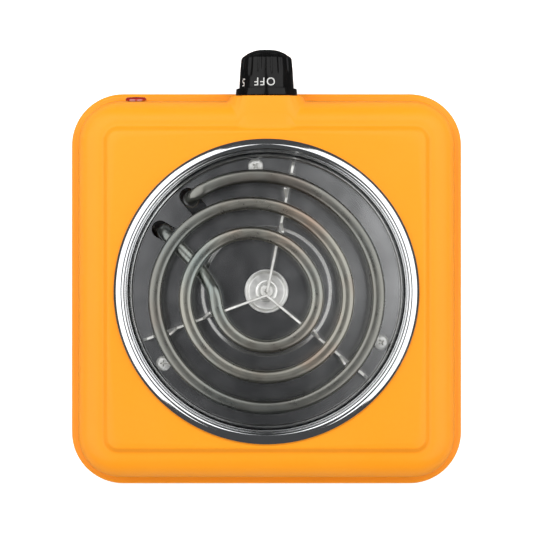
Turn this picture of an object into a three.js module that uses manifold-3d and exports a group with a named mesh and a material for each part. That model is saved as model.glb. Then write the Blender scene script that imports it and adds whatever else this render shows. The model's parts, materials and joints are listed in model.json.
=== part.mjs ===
// A single hot plate: a painted steel body with a coil burner, a front control knob and a pilot lamp.
// Millimetres, +Z up, front (the knob's side) towards -Y. The origin is on the ground, at the middle of
// the whole object's footprint.
import * as THREE from "three";
import Module from "manifold-3d";
import { mergeVertices } from "three/addons/utils/BufferGeometryUtils.js";

// ---------- driving dimensions ----------

const GAP = 0.3; // left between neighbours that touch
const SHEET = 1; // steel sheet of the body
const ROUND_STEPS = 48; // facets round the burner's large circles

// Body, from above a rounded square
const BODY_HALF = 105;
const BODY_Y = 11; // the body's centre; the knob takes up the front of the footprint
const CREASE_HALF = 101.3; // where the wall meets the flange
const PLATEAU_HALF = 84.6;
const CORNER_CENTRE = 77.3; // every outline of the body shares these corner centres
const SKIRT_Z = 9.5;
const FLANGE_Z = 22;
const WALL_TOP_HALF = 98.8;
const WALL_TOP_Z = 47;
const PLATEAU_Z = 60;
const PLATEAU_STEP = 1.8;

// Burner: ring, pan and centre disc share one axis
const BURNER_Y = BODY_Y + 1;
const RING_RADIUS = 79.7;
const RING_TOP_Z = 63.2;
const WELL_RADIUS = 72.5; // inside of the ring's wall at its foot
const PAN_RADIUS = 71.9;
const PAN_Z = 48.5; // top of the pan's floor
const PAN_SHEET = 0.8;
const PAN_RAISE = 0.8; // the pan's middle is pressed up by this much
const PAN_RAISE_RADIUS = 33.7;
const SCREW_CIRCLE = 66;
const SCREW_ANGLES = [275, 35, 156];
const SCREW_HEAD_RADIUS = 4;
const SCREW_RADIUS = 2;

// Heater: a flat-topped tube wound inwards, clockwise from above
const COIL_Y = BURNER_Y + 2.15;
const TUBE_RADIUS = 3.5;
const TUBE_FLAT = 2.9; // from the tube's axis to its flattened top
const COIL_TOP_Z = 66;
const COIL_Z = COIL_TOP_Z - TUBE_FLAT;
const COIL_OUTER_RADIUS = 58.3;
const COIL_PITCH = 15.9;
const COIL_START = 308.4; // direction of the outer end, in degrees
const COIL_FLARE = 6; // the outer end leaves the round by this much
const FLARE_SWEEP = 90;
const JOG_START = 298; // each turn steps inwards over this part of its sweep
const JOG_SWEEP = 160;
const COIL_SWEEP = 1016;
const OUTER_BEND = 7.8;
const INNER_BEND = 6;
const LEAD_Z = 55.6; // the inner end runs out under the turns at this height
const LEAD_POINTS = [
  [27.3, -1.6, 61.9],
  [30.6, -7.4, 58.8],
  [35.6, -14.3, 56.2],
];
const INNER_END = [54, -33.65];
const TUBE_END_Z = 40;

// Support arms: steel strip on edge
const ARM_THICKNESS = 1.6;
const ARM_ANGLES = [20, 140.7, 258.5];
const ARM_REACH = 69.5; // from the burner's axis
const ARM_TOP_Z = COIL_Z - TUBE_RADIUS - GAP;
const TAB_TOP_Z = 63.4;

// Control
const KNOB_Z = 39.5;
const BOSS_FACE_Y = -90.4;
const BOSS_HALF_WIDTH = 19.1;
const BOSS_TOP = 17.4; // above the knob's axis
const BOSS_BOTTOM = -18;
const BOSS_CORNER = 12;
const SKIRT_RADIUS = 16.4;
const SKIRT_LENGTH = 4;
const GRIP_RADIUS = 14.3;
const GRIP_LENGTH = 17;
const CAP_LENGTH = 4;
const KNOB_GAP = 0.6;
const FLUTES = 16;
const SPINDLE_RADIUS = 3;
const SPINDLE_FLAT = 1.9;
const COLLAR_RADIUS = 5;
const STACK_X = 24; // where the contact leaves are clamped, to the side of the spindle
const STACK_FRONT = -13; // depths behind the boss's face, from here on
const STACK_CLEAR = 0.6; // room in the stack for the moving leaf to swing
const ARM_FACE = -18;
const FIXED_FACE = -22.1;
const BIMETAL_FACE = -26.1;
const LEAF = 0.4;
const CONTACT_X = -6;
const RIVET_RADIUS = 1.6;

// Pilot lamp
const LAMP_X = 69.4;
const LAMP_Z = 38;
const LENS_RADIUS = 5.7;
const LENS_PROUD = 2.4;

// Underside
const BASE_Z = 10;
const LIP_Z = BASE_Z + SHEET + GAP;
const FOOT_OFFSET = 80;
const FOOT_RADIUS = 9;
const GLAND = [-40, 90];
const TERMINAL_BLOCK = [-40, 66];
const EARTH_SCREW = [-12, 84];

const FINISHES = {
  paint: { color: 0xfbb43a, roughness: 0.42, metalness: 0 },
  chrome: { color: 0xe6e6e6, roughness: 0.12, metalness: 1 },
  pan: { color: 0x5c5e60, roughness: 0.45, metalness: 0.8 },
  heater: { color: 0x9b988c, roughness: 0.38, metalness: 0.9 },
  steel: { color: 0xb9bab8, roughness: 0.32, metalness: 1 },
  black: { color: 0x17181a, roughness: 0.2, metalness: 0 },
  red: { color: 0xc4261a, roughness: 0.12, metalness: 0 },
  ceramic: { color: 0xefe9dc, roughness: 0.6, metalness: 0 },
  brass: { color: 0xc9a44c, roughness: 0.3, metalness: 1 },
  rubber: { color: 0x222222, roughness: 0.85, metalness: 0 },
  lead: { color: 0xe9e6df, roughness: 0.7, metalness: 0 },
  glass: { color: 0xf3ddd0, roughness: 0.05, metalness: 0 },
};

// ---------- solids ----------

const wasm = await Module();
wasm.setup();

function toSolid(geometry) {
  const bare = geometry.clone();
  bare.deleteAttribute("normal");
  bare.deleteAttribute("uv");
  const merged = mergeVertices(bare, 1e-4);
  const vertProperties = new Float32Array(merged.attributes.position.array);
  const triVerts = new Uint32Array(merged.index.array);
  return new wasm.Manifold(new wasm.Mesh({ numProp: 3, vertProperties, triVerts }));
}

function toGeometry(solid) {
  const mesh = solid.getMesh();
  const geometry = new THREE.BufferGeometry();
  geometry.setAttribute("position", new THREE.BufferAttribute(mesh.vertProperties, 3));
  geometry.setIndex(new THREE.BufferAttribute(mesh.triVerts, 1));
  geometry.computeVertexNormals();
  return geometry;
}

// The base with pieces joined on, and after that with pieces cut away.
function carve(base, { add = [], cut = [] }) {
  let solid = toSolid(base);
  for (const piece of add) solid = solid.add(toSolid(piece));
  for (const piece of cut) solid = solid.subtract(toSolid(piece));
  return toGeometry(solid);
}

// A body of revolution about Z. The profile holds [radius, height] pairs, anticlockwise with the radius
// to the right; it starts and ends on the axis, or is a closed ring.
function turned(profile, segments) {
  const points = profile.map(([radius, height]) => new THREE.Vector2(radius, height));
  if (points[0].x > 0) points.push(points[0].clone());
  return new THREE.LatheGeometry(points, segments).rotateX(Math.PI / 2);
}

function cylinder(radius, bottom, top, segments = 16) {
  const height = top - bottom;
  const geometry = new THREE.CylinderGeometry(radius, radius, height, segments);
  return geometry.rotateX(Math.PI / 2).translate(0, 0, bottom + height / 2);
}

function box(low, high) {
  const size = high.map((value, axis) => value - low[axis]);
  const middle = high.map((value, axis) => (value + low[axis]) / 2);
  return new THREE.BoxGeometry(...size).translate(...middle);
}

// A flat outline, given as [x, y] pairs, made into a plate from one height to another.
function plate(outline, bottom, top) {
  const shape = new THREE.Shape(outline.map(([x, y]) => new THREE.Vector2(x, y)));
  const geometry = new THREE.ExtrudeGeometry(shape, { depth: top - bottom, bevelEnabled: false });
  return geometry.translate(0, 0, bottom);
}

// A plate seen from the side: the outline's pairs are [x, z], and it is as thick as twice the half width.
function sidePlate(outline, halfWidth) {
  return plate(outline, -halfWidth, halfWidth).rotateX(Math.PI / 2);
}

// A skin over a stack of outlines with equal numbers of points, closed flat at both ends.
function loft(rings) {
  const positions = [];
  const face = (...corners) => corners.forEach((corner) => positions.push(...corner.toArray()));
  const count = rings[0].length;
  const cap = (ring, upwards) => {
    const middle = ring.reduce((sum, point) => sum.add(point), new THREE.Vector3());
    middle.divideScalar(count);
    ring.forEach((point, i) => {
      const next = ring[(i + 1) % count];
      if (upwards) face(middle, point, next);
      else face(middle, next, point);
    });
  };
  for (let level = 0; level + 1 < rings.length; level += 1) {
    for (let i = 0; i < count; i += 1) {
      const j = (i + 1) % count;
      face(rings[level][i], rings[level][j], rings[level + 1][j]);
      face(rings[level][i], rings[level + 1][j], rings[level + 1][i]);
    }
  }
  cap(rings[0], false);
  cap(rings.at(-1), true);
  const geometry = new THREE.BufferGeometry();
  geometry.setAttribute("position", new THREE.Float32BufferAttribute(positions, 3));
  return geometry;
}

// A rounded rectangle about the origin, anticlockwise from above.
function roundedOutline(halfX, halfY, radius, arcSteps) {
  const outline = [];
  const corners = [[1, 1], [-1, 1], [-1, -1], [1, -1]];
  corners.forEach(([signX, signY], quarter) => {
    for (let step = 0; step <= arcSteps; step += 1) {
      const angle = (quarter + step / arcSteps) * (Math.PI / 2);
      outline.push([
        signX * (halfX - radius) + radius * Math.cos(angle),
        signY * (halfY - radius) + radius * Math.sin(angle),
      ]);
    }
  });
  return outline;
}

function atHeight(outline, z) {
  return outline.map(([x, y]) => new THREE.Vector3(x, y, z));
}

function polar(radius, degrees) {
  const angle = THREE.MathUtils.degToRad(degrees);
  return [radius * Math.cos(angle), radius * Math.sin(angle)];
}

function smooth(value) {
  return THREE.MathUtils.smoothstep(value, 0, 1);
}

// A shaft with a flat on its upper side.
function dShaft(radius, flat, bottom, top) {
  const keep = box([-radius - 1, -radius - 1, bottom], [radius + 1, flat, top]);
  return toGeometry(toSolid(cylinder(radius, bottom, top)).intersect(toSolid(keep)));
}

// A round wire through a few points.
function wire(points, radius, steps, sides) {
  const path = new THREE.CatmullRomCurve3(points.map((point) => new THREE.Vector3(...point)));
  const shape = new THREE.Shape();
  for (let i = 0; i < sides; i += 1) {
    const [x, y] = polar(radius, (i * 360) / sides);
    if (i === 0) shape.moveTo(x, y);
    else shape.lineTo(x, y);
  }
  return new THREE.ExtrudeGeometry(shape, { steps, extrudePath: path, bevelEnabled: false });
}

// ---------- body ----------

// The outside of the body as [half width, height], from the skirt up to the plateau.
function bodyProfile() {
  const shoulderTop = PLATEAU_Z - PLATEAU_STEP;
  const profile = [
    [BODY_HALF, SKIRT_Z],
    [BODY_HALF, FLANGE_Z - 1.8],
    [BODY_HALF - 0.6, FLANGE_Z - 0.5],
    [BODY_HALF - 1.8, FLANGE_Z],
    [CREASE_HALF, FLANGE_Z + 0.2],
    [WALL_TOP_HALF, WALL_TOP_Z],
  ];
  const reach = WALL_TOP_HALF - PLATEAU_HALF - 2.4;
  for (const turn of [25, 50, 75]) {
    const [out, up] = polar(1, turn);
    profile.push([WALL_TOP_HALF - reach * (1 - out), WALL_TOP_Z + (shoulderTop - WALL_TOP_Z) * up]);
  }
  profile.push([PLATEAU_HALF + 1.2, shoulderTop + 0.1]);
  profile.push([PLATEAU_HALF - 0.6, PLATEAU_Z]);
  return profile;
}

function bodySkin(inset, bottom) {
  const rings = bodyProfile().map(([half, height], level) => {
    const edge = half - inset;
    const z = level === 0 ? bottom : height - inset;
    return atHeight(roundedOutline(edge, edge, edge - CORNER_CENTRE, 6), z);
  });
  return loft(rings);
}

// The boss that the knob stands on, in the control's own frame: its face at z = 0, up along y.
function bossSkin(inset) {
  const middle = (BOSS_TOP + BOSS_BOTTOM) / 2;
  const halfHeight = (BOSS_TOP - BOSS_BOTTOM) / 2;
  const levels = [[-18, 3.2], [-1.5, 0], [-0.45, -0.45], [0, -1.5]];
  const rings = levels.map(([depth, grow]) => {
    const halfX = BOSS_HALF_WIDTH + grow - inset;
    const outline = roundedOutline(halfX, halfHeight + grow / 4 - inset, BOSS_CORNER - inset, 4);
    return outline.map(([x, y]) => new THREE.Vector3(x, y + middle, depth - inset));
  });
  return loft(rings);
}

// From the control's frame, where z points to the front, into the body's frame.
function fromControl(geometry) {
  return geometry.rotateX(Math.PI / 2).translate(0, BOSS_FACE_Y - BODY_Y, KNOB_Z);
}

function wallDraft() {
  return Math.atan2(CREASE_HALF - WALL_TOP_HALF, WALL_TOP_Z - FLANGE_Z);
}

// Where the lamp's axis meets the outside of the front wall, in the object's frame.
function lampPlace() {
  const half = CREASE_HALF - (LAMP_Z - FLANGE_Z) * Math.tan(wallDraft());
  return [LAMP_X, BODY_Y - half, LAMP_Z];
}

function lampTilt() {
  return Math.PI / 2 - wallDraft();
}

function footPlaces() {
  return [[-1, -1], [1, -1], [1, 1], [-1, 1]].map(([x, y]) => [x * FOOT_OFFSET, y * FOOT_OFFSET]);
}

function upperShell() {
  const inside = bodySkin(SHEET, LIP_Z + SHEET);
  const lipOpening = plate(
    [[92, -58], [92, 58], [58, 92], [-58, 92], [-92, 58], [-92, -58], [-58, -92], [58, -92]],
    SKIRT_Z,
    LIP_Z + SHEET + 1,
  );
  const recess = BODY_HALF - SHEET;
  const underLip = plate(
    roundedOutline(recess, recess, recess - CORNER_CENTRE, 6),
    SKIRT_Z - 1,
    LIP_Z,
  );
  const burnerHole = cylinder(75.4, PLATEAU_Z - 3, PLATEAU_Z + 1, ROUND_STEPS);
  burnerHole.translate(0, BURNER_Y - BODY_Y, 0);
  const spindleHole = fromControl(cylinder(COLLAR_RADIUS + GAP, -3, 3, 16));
  const [lampX, lampY, lampZ] = lampPlace();
  const lampHole = cylinder(4.9, -4, 4, 16).rotateX(lampTilt()).translate(lampX, lampY - BODY_Y, lampZ);
  const screwHoles = footPlaces().map(([x, y]) => cylinder(2.2, SKIRT_Z, LIP_Z + 2, 10).translate(x, y, 0));
  const hollow = [inside, fromControl(bossSkin(SHEET)), lipOpening, underLip];
  return carve(bodySkin(0, SKIRT_Z), {
    add: [fromControl(bossSkin(0))],
    cut: [...hollow, burnerHole, spindleHole, lampHole, ...screwHoles],
  });
}

function basePlate() {
  const half = BODY_HALF - SHEET - 0.4;
  const sheet = plate(roundedOutline(half, half, half - CORNER_CENTRE, 6), BASE_Z, BASE_Z + SHEET);
  const cut = footPlaces().map(([x, y]) => cylinder(2.2, BASE_Z - 1, BASE_Z + 2, 10).translate(x, y, 0));
  for (let row = 0; row < 8; row += 1) {
    const slot = plate(roundedOutline(50, 2.5, 2.49, 2), BASE_Z - 1, BASE_Z + 2);
    cut.push(slot.translate(0, -44 + row * 11, 0));
  }
  const [glandX, glandY] = GLAND;
  cut.push(cylinder(6.3, BASE_Z - 1, BASE_Z + 2, 16).translate(glandX, glandY - BODY_Y, 0));
  const [earthX, earthY] = EARTH_SCREW;
  cut.push(cylinder(2.3, BASE_Z - 1, BASE_Z + 2, 10).translate(earthX, earthY - BODY_Y, 0));
  return carve(sheet, { cut });
}

function foot() {
  return turned(
    [
      [2.3, BASE_Z - GAP],
      [2.3, 5],
      [4.6, 5],
      [4.6, 0],
      [FOOT_RADIUS - 1.5, 0],
      [FOOT_RADIUS - 0.6, 0.9],
      [FOOT_RADIUS, BASE_Z - GAP],
    ],
    14,
  );
}

function footScrew() {
  return turned([[0, 2.5], [2.6, 2.5], [3.6, 3.5], [3.6, 4.7], [1.9, 4.7], [1.9, 15.4], [0, 16.2]], 10);
}

function cordGland() {
  const low = BASE_Z - GAP;
  const high = BASE_Z + SHEET + GAP;
  return turned(
    [
      [3.5, high + 1.4],
      [3.5, low - 2.2],
      [6.6, low - 2.2],
      [8, low - 1.2],
      [8, low],
      [6, low],
      [6, high],
      [7.8, high],
      [7.2, high + 1.4],
    ],
    14,
  );
}

function earthScrew() {
  const seat = BASE_Z + SHEET + GAP;
  const low = seat - 3.6;
  return turned([[0, low], [2, low], [2, seat], [3.8, seat], [3.4, seat + 2], [0, seat + 2.5]], 12);
}

// ---------- burner ----------

function trimRing() {
  const low = PLATEAU_Z + GAP;
  return turned(
    [
      [RING_RADIUS, low],
      [RING_RADIUS + 0.05, RING_TOP_Z - 1.7],
      [RING_RADIUS - 0.8, RING_TOP_Z - 0.4],
      [RING_RADIUS - 2, RING_TOP_Z],
      [RING_RADIUS - 3.2, RING_TOP_Z - 0.5],
      [RING_RADIUS - 3.9, RING_TOP_Z - 1.4],
      [RING_RADIUS - 5, RING_TOP_Z - 1.1],
      [RING_RADIUS - 6, RING_TOP_Z - 2.2],
      [WELL_RADIUS, PAN_Z + 0.2],
      [WELL_RADIUS, PAN_Z - PAN_SHEET - GAP],
      [WELL_RADIUS - 2.2, PAN_Z - PAN_SHEET - GAP],
      [WELL_RADIUS - 2.2, PAN_Z - PAN_SHEET - GAP - 0.8],
      [WELL_RADIUS + 0.8, PAN_Z - PAN_SHEET - GAP - 0.8],
      [WELL_RADIUS + 0.9, PAN_Z + 0.2],
      [RING_RADIUS - 5.1, low + 0.1],
      [RING_RADIUS - 4, low + 0.6],
      [RING_RADIUS - 2.6, low],
    ],
    ROUND_STEPS,
  );
}

// Directions and distances of the two tube ends, seen from the burner's axis.
function tubeEnds() {
  const [startX, startY] = polar(COIL_OUTER_RADIUS + COIL_FLARE, COIL_START);
  return [[startX, startY], INNER_END].map(([x, y]) => [x, y + COIL_Y - BURNER_Y]);
}

function dripPan() {
  const under = PAN_Z - PAN_SHEET;
  const raised = PAN_RAISE_RADIUS;
  const sheet = turned(
    [
      [0, under + PAN_RAISE],
      [raised - 1.2, under + PAN_RAISE],
      [raised + 0.4, under],
      [PAN_RADIUS - 0.9, under],
      [PAN_RADIUS - 0.1, under + 0.9],
      [PAN_RADIUS, PAN_Z + 2.3],
      [PAN_RADIUS - 0.7, PAN_Z + 2.3],
      [PAN_RADIUS - 0.8, under + 1.5],
      [PAN_RADIUS - 1.5, PAN_Z],
      [raised + 0.8, PAN_Z],
      [raised - 0.8, PAN_Z + PAN_RAISE],
      [0, PAN_Z + PAN_RAISE],
    ],
    ROUND_STEPS,
  );
  const cut = tubeEnds().map(([x, y]) => {
    const slot = plate(roundedOutline(8.5, 4.25, 4.2, 4), under - 1, PAN_Z + 1);
    return slot.translate(60.5, 0, 0).rotateZ(Math.atan2(y, x));
  });
  for (const angle of SCREW_ANGLES) {
    const hole = cylinder(SCREW_RADIUS + GAP, under - 1, PAN_Z + 1, 10);
    cut.push(hole.translate(...polar(SCREW_CIRCLE, angle), 0));
  }
  cut.push(cylinder(2.2, under - 1, PAN_Z + 2, 10));
  return carve(sheet, { cut });
}

// A bracket welded under the plateau that carries the pan; it lies along +x and is turned into place.
function panBracket() {
  const top = PLATEAU_Z - SHEET - GAP;
  const bottom = PAN_Z - PAN_SHEET - 2 * GAP - 0.8;
  const side = [
    [61, bottom - 1.2],
    [78, bottom - 1.2],
    [78, top - 1.2],
    [83, top - 1.2],
    [83, top],
    [76.8, top],
    [76.8, bottom],
    [61, bottom],
  ];
  const hole = cylinder(SCREW_RADIUS + GAP, bottom - 3, bottom + 3, 10).translate(SCREW_CIRCLE, 0, 0);
  return carve(sidePlate(side, 5), { cut: [hole] });
}

// A pan-head screw with a cross recess, standing on the pan's floor.
function panScrew() {
  const seat = PAN_Z + GAP;
  const body = turned(
    [
      [0, seat - 8],
      [SCREW_RADIUS - 0.4, seat - 8],
      [SCREW_RADIUS, seat - 7.4],
      [SCREW_RADIUS, seat],
      [SCREW_HEAD_RADIUS, seat],
      [SCREW_HEAD_RADIUS, seat + 1.2],
      [SCREW_HEAD_RADIUS - 0.9, seat + 2.2],
      [0, seat + 2.7],
    ],
    12,
  );
  const bar = [[-2.2, -0.45, seat + 1.3], [2.2, 0.45, seat + 4]];
  return carve(body, { cut: [box(...bar), box(...bar).rotateZ(Math.PI / 2)] });
}

function centreDisc() {
  const low = PAN_Z + PAN_RAISE + GAP;
  return turned(
    [
      [2.2, low],
      [9.6, low],
      [11.5, low + 1.2],
      [11.6, low + 1.9],
      [10.9, low + 2],
      [9.2, low + 1.1],
      [5.4, low + 0.7],
      [2.2, low + 0.7],
    ],
    24,
  );
}

function centreScrew() {
  const seat = PAN_Z + PAN_RAISE + GAP + 0.7 + GAP;
  const low = seat - 8.4;
  return turned([[0, low], [1.9, low], [1.9, seat], [3.6, seat], [3, seat + 1.1], [0, seat + 1.3]], 14);
}

function centreNut() {
  const top = PAN_Z - PAN_SHEET + PAN_RAISE - GAP;
  return carve(cylinder(4, top - 3.2, top, 6), { cut: [cylinder(2.2, top - 5, top + 1, 12)] });
}

// ---------- heater ----------

// A curve whose sweep keeps its section level: the frames are upright in the middle and are carried from
// there to both ends without twist.
class LevelCurve extends THREE.CatmullRomCurve3 {
  computeFrenetFrames(steps) {
    const tangents = [];
    for (let i = 0; i <= steps; i += 1) tangents.push(this.getTangentAt(i / steps));
    const normals = [];
    const middle = Math.round(steps / 2);
    normals[middle] = new THREE.Vector3(0, 0, 1).cross(tangents[middle]).normalize();
    const carry = (from, to) => {
      const turn = new THREE.Quaternion().setFromUnitVectors(tangents[from], tangents[to]);
      normals[to] = normals[from].clone().applyQuaternion(turn);
    };
    for (let i = middle; i < steps; i += 1) carry(i, i + 1);
    for (let i = middle; i > 0; i -= 1) carry(i, i - 1);
    const binormals = tangents.map((tangent, i) => tangent.clone().cross(normals[i]));
    return { tangents, normals, binormals };
  }
}

// The coil's radius after a sweep, in degrees from its outer end.
function coilRadius(swept) {
  const flare = COIL_FLARE * (1 - smooth(swept / FLARE_SWEEP));
  const firstJog = smooth((swept - JOG_START) / JOG_SWEEP);
  const secondJog = smooth((swept - JOG_START - 360) / JOG_SWEEP);
  return COIL_OUTER_RADIUS + flare - COIL_PITCH * (firstJog + secondJog);
}

function coilPoint(swept, z = COIL_Z) {
  return new THREE.Vector3(...polar(coilRadius(swept), COIL_START - swept), z);
}

function coilPath() {
  const points = [];
  const outerFoot = COIL_Z - OUTER_BEND;
  for (const z of [TUBE_END_Z, (TUBE_END_Z + outerFoot) / 2]) points.push(coilPoint(0, z));
  const arcSweep = THREE.MathUtils.radToDeg(OUTER_BEND / coilRadius(0));
  for (const turn of [0, 30, 60]) {
    const [cos, sin] = polar(1, turn);
    points.push(coilPoint(arcSweep * (1 - cos), outerFoot + OUTER_BEND * sin));
  }
  for (const swept of [arcSweep, arcSweep + 4]) points.push(coilPoint(swept));
  for (let swept = arcSweep + 12; swept < COIL_SWEEP - 8; swept += 12) points.push(coilPoint(swept));
  for (const swept of [COIL_SWEEP - 4, COIL_SWEEP]) points.push(coilPoint(swept));
  for (const place of LEAD_POINTS) points.push(new THREE.Vector3(...place));

  const end = new THREE.Vector3(...INNER_END, LEAD_Z);
  const back = new THREE.Vector3(...LEAD_POINTS.at(-1)).sub(end).setZ(0).normalize();
  for (const turn of [90, 60, 30, 0]) {
    const [cos, sin] = polar(INNER_BEND, turn);
    const place = end.clone().addScaledVector(back, INNER_BEND - cos);
    points.push(place.setZ(LEAD_Z - INNER_BEND + sin));
  }
  for (const z of [45, TUBE_END_Z]) points.push(end.clone().setZ(z));
  return new LevelCurve(points, false, "centripetal");
}

// A round tube section with its top pressed flat.
function tubeSection() {
  const flatEdge = THREE.MathUtils.radToDeg(Math.asin(TUBE_FLAT / TUBE_RADIUS));
  const outline = [];
  const sides = 7;
  for (let i = 0; i <= sides; i += 1) {
    const angle = 180 - flatEdge + ((180 + 2 * flatEdge) * i) / sides;
    outline.push(new THREE.Vector2(...polar(TUBE_RADIUS, angle)));
  }
  return new THREE.Shape(outline);
}

function heatingCoil() {
  const options = { steps: 170, extrudePath: coilPath(), bevelEnabled: false };
  return new THREE.ExtrudeGeometry(tubeSection(), options);
}

// The distances from the coil's middle at which an arm crosses the turns.
function crossings(angle) {
  const found = [];
  for (let swept = (COIL_START - angle + 360) % 360; swept < COIL_SWEEP; swept += 360) {
    found.push(coilRadius(swept));
  }
  return found.reverse();
}

// One arm of the coil support, from the coil's middle outwards along +x, with a pair of tabs at the outer
// and at the inner turn.
function supportArm(angle, start) {
  const reach = ARM_REACH - (COIL_Y - BURNER_Y) * Math.sin(THREE.MathUtils.degToRad(angle));
  const onPan = PAN_Z + PAN_RAISE + GAP;
  const overDisc = onPan + 2.4;
  const side = [
    [start, overDisc],
    [16, overDisc],
    [17, onPan],
    [reach - 6, onPan],
    [reach - 5.5, PAN_Z + GAP],
    [reach, PAN_Z + GAP],
    [reach, PAN_Z + 5],
    [reach - 2.5, ARM_TOP_Z],
  ];
  const beside = TUBE_RADIUS + GAP;
  const turns = crossings(angle);
  for (const middle of [turns.at(-1), turns[0]]) {
    side.push([middle + beside + 2.6, ARM_TOP_Z]);
    side.push([middle + beside + 0.5, TAB_TOP_Z]);
    side.push([middle + beside, ARM_TOP_Z]);
    side.push([middle - beside, ARM_TOP_Z]);
    side.push([middle - beside - 0.5, TAB_TOP_Z]);
    side.push([middle - beside - 2.6, ARM_TOP_Z]);
  }
  side.push([17, ARM_TOP_Z - 2.5]);
  side.push([start, ARM_TOP_Z - 3.5]);
  return sidePlate(side, ARM_THICKNESS / 2).rotateZ(THREE.MathUtils.degToRad(angle));
}

function coilSupportV() {
  return carve(supportArm(ARM_ANGLES[0], -0.4), { add: [supportArm(ARM_ANGLES[1], -0.4)] });
}

function coilSupportArm() {
  return supportArm(ARM_ANGLES[2], 1.7);
}

function coilInsulator() {
  const top = TUBE_END_Z - GAP;
  const low = top - 6;
  return turned([[1.6, top], [1.6, low], [3.2, low], [4.4, low + 1.4], [4.4, top - 1], [3.8, top]], 10);
}

function coilTerminal() {
  return cylinder(1.25, TUBE_END_Z - 13, TUBE_END_Z - GAP, 8);
}

// ---------- control, in its own frame: z to the front, y up ----------

function knob() {
  const grip = KNOB_GAP + SKIRT_LENGTH;
  const cap = grip + GRIP_LENGTH;
  const tip = cap + CAP_LENGTH;
  const body = turned(
    [
      [0, 3.8],
      [5.2, 3.8],
      [5.2, cap - 3],
      [11.6, cap - 3],
      [11.6, KNOB_GAP],
      [SKIRT_RADIUS, KNOB_GAP],
      [SKIRT_RADIUS - 0.4, grip],
      [GRIP_RADIUS, grip],
      [GRIP_RADIUS - 0.8, cap - 1.4],
      [GRIP_RADIUS - 1.6, cap - 0.3],
      [GRIP_RADIUS - 3, cap],
      [10.9, cap + 0.2],
      [9.6, cap + 2],
      [6.4, cap + 3.3],
      [0, tip],
    ],
    32,
  );
  const fluteRadius = 2.4;
  const cut = [dShaft(SPINDLE_RADIUS + GAP, SPINDLE_FLAT + GAP, 3, 16.4)];
  for (let i = 0; i < FLUTES; i += 1) {
    const flute = cylinder(fluteRadius, -12, 12, 10).rotateY(-0.13);
    flute.translate(GRIP_RADIUS + fluteRadius - 0.9, 0, cap - 4);
    cut.push(flute.rotateZ(((i + 1 / 3) * 2 * Math.PI) / FLUTES));
  }
  return carve(body, { cut });
}

function thermostatSpindle() {
  const round = cylinder(SPINDLE_RADIUS, -6, 3.4, 16);
  return carve(round, { add: [dShaft(SPINDLE_RADIUS, SPINDLE_FLAT, 3.2, 15.8)] });
}

function thermostatNut() {
  return carve(cylinder(7.6, GAP, 2.4, 6), { cut: [cylinder(COLLAR_RADIUS + GAP, -1, 4, 16)] });
}

// A bent strip behind the boss: a front plate with a collar, a leg, and a foot for the contact stack.
function thermostatBracket() {
  const front = -SHEET - GAP;
  const leg = 15;
  const outline = [
    [-16, front - 1.5],
    [leg, front - 1.5],
    [leg, STACK_FRONT - 1.5],
    [31, STACK_FRONT - 1.5],
    [31, STACK_FRONT],
    [leg + 1.5, STACK_FRONT],
    [leg + 1.5, front],
    [-16, front],
  ];
  return carve(sidePlate(outline, 9), {
    add: [cylinder(COLLAR_RADIUS, -9, 3, 16)],
    cut: [
      cylinder(SPINDLE_RADIUS + GAP, -12, 5, 16),
      cylinder(RIVET_RADIUS + GAP, STACK_FRONT - 4, STACK_FRONT + 2, 10).translate(STACK_X, 0, 0),
    ],
  });
}

// Follows the spindle inside the collar; its nose pushes the contact arm.
function adjustingPin() {
  const nose = ARM_FACE + GAP;
  const wide = SPINDLE_RADIUS;
  return turned([[0, nose], [1.5, nose], [1.5, -10], [wide, -10], [wide, -6.3], [0, -6.3]], 16);
}

// A sprung leaf with its contact button; the stack clamps it at STACK_X.
function leaf(face, thickness, tip, halfWidth) {
  const strip = box([tip, -halfWidth, face - thickness], [STACK_X + 5, halfWidth, face]);
  const hole = cylinder(RIVET_RADIUS + 0.6, face - 3, face + 2, 10).translate(STACK_X, 0, 0);
  return { strip, hole };
}

function contactArm() {
  const { strip, hole } = leaf(ARM_FACE, LEAF, -9, 3);
  const button = cylinder(1.8, ARM_FACE - 1.2, ARM_FACE - LEAF / 2, 12).translate(CONTACT_X, 0, 0);
  return carve(strip, { add: [button], cut: [hole] });
}

function fixedContact() {
  const { strip, hole } = leaf(FIXED_FACE, LEAF, -9, 3);
  const button = cylinder(1.8, FIXED_FACE - LEAF / 2, FIXED_FACE + 1.2, 12).translate(CONTACT_X, 0, 0);
  return carve(strip, { add: [button], cut: [hole] });
}

function bimetalStrip() {
  const { strip, hole } = leaf(BIMETAL_FACE, 2 * LEAF, -14, 4);
  return carve(strip, { cut: [hole] });
}

// A ceramic washer of the stack between two heights.
function stackWasher(bottom, top) {
  return carve(cylinder(4, bottom, top, 12), {
    cut: [cylinder(RIVET_RADIUS + GAP, bottom - 1, top + 1, 10)],
  });
}

function stackRivet() {
  const low = BIMETAL_FACE - 2 * LEAF - GAP;
  const high = STACK_FRONT + GAP;
  return turned(
    [
      [0, low - 1.2],
      [2.6, low - 1.2],
      [2.8, low],
      [RIVET_RADIUS, low],
      [RIVET_RADIUS, high],
      [2.8, high],
      [2.2, high + 1],
      [0, high + 1.2],
    ],
    12,
  );
}

// ---------- pilot lamp, in its own frame: z out of the front wall ----------

function lampLens() {
  return turned(
    [
      [3.3, -14],
      [4.6, -14],
      [4.6, GAP],
      [LENS_RADIUS, GAP],
      [LENS_RADIUS, LENS_PROUD - 1.3],
      [LENS_RADIUS - 0.7, LENS_PROUD - 0.6],
      [LENS_RADIUS - 2.2, LENS_PROUD - 0.2],
      [0, LENS_PROUD],
      [0, LENS_PROUD - 1.4],
      [3.3, LENS_PROUD - 1.7],
    ],
    14,
  );
}

function lampBulb() {
  return turned([[0, -12], [1.6, -12], [2.7, -10.6], [2.7, -3], [1.8, -1.2], [0, -0.6]], 12);
}

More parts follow.
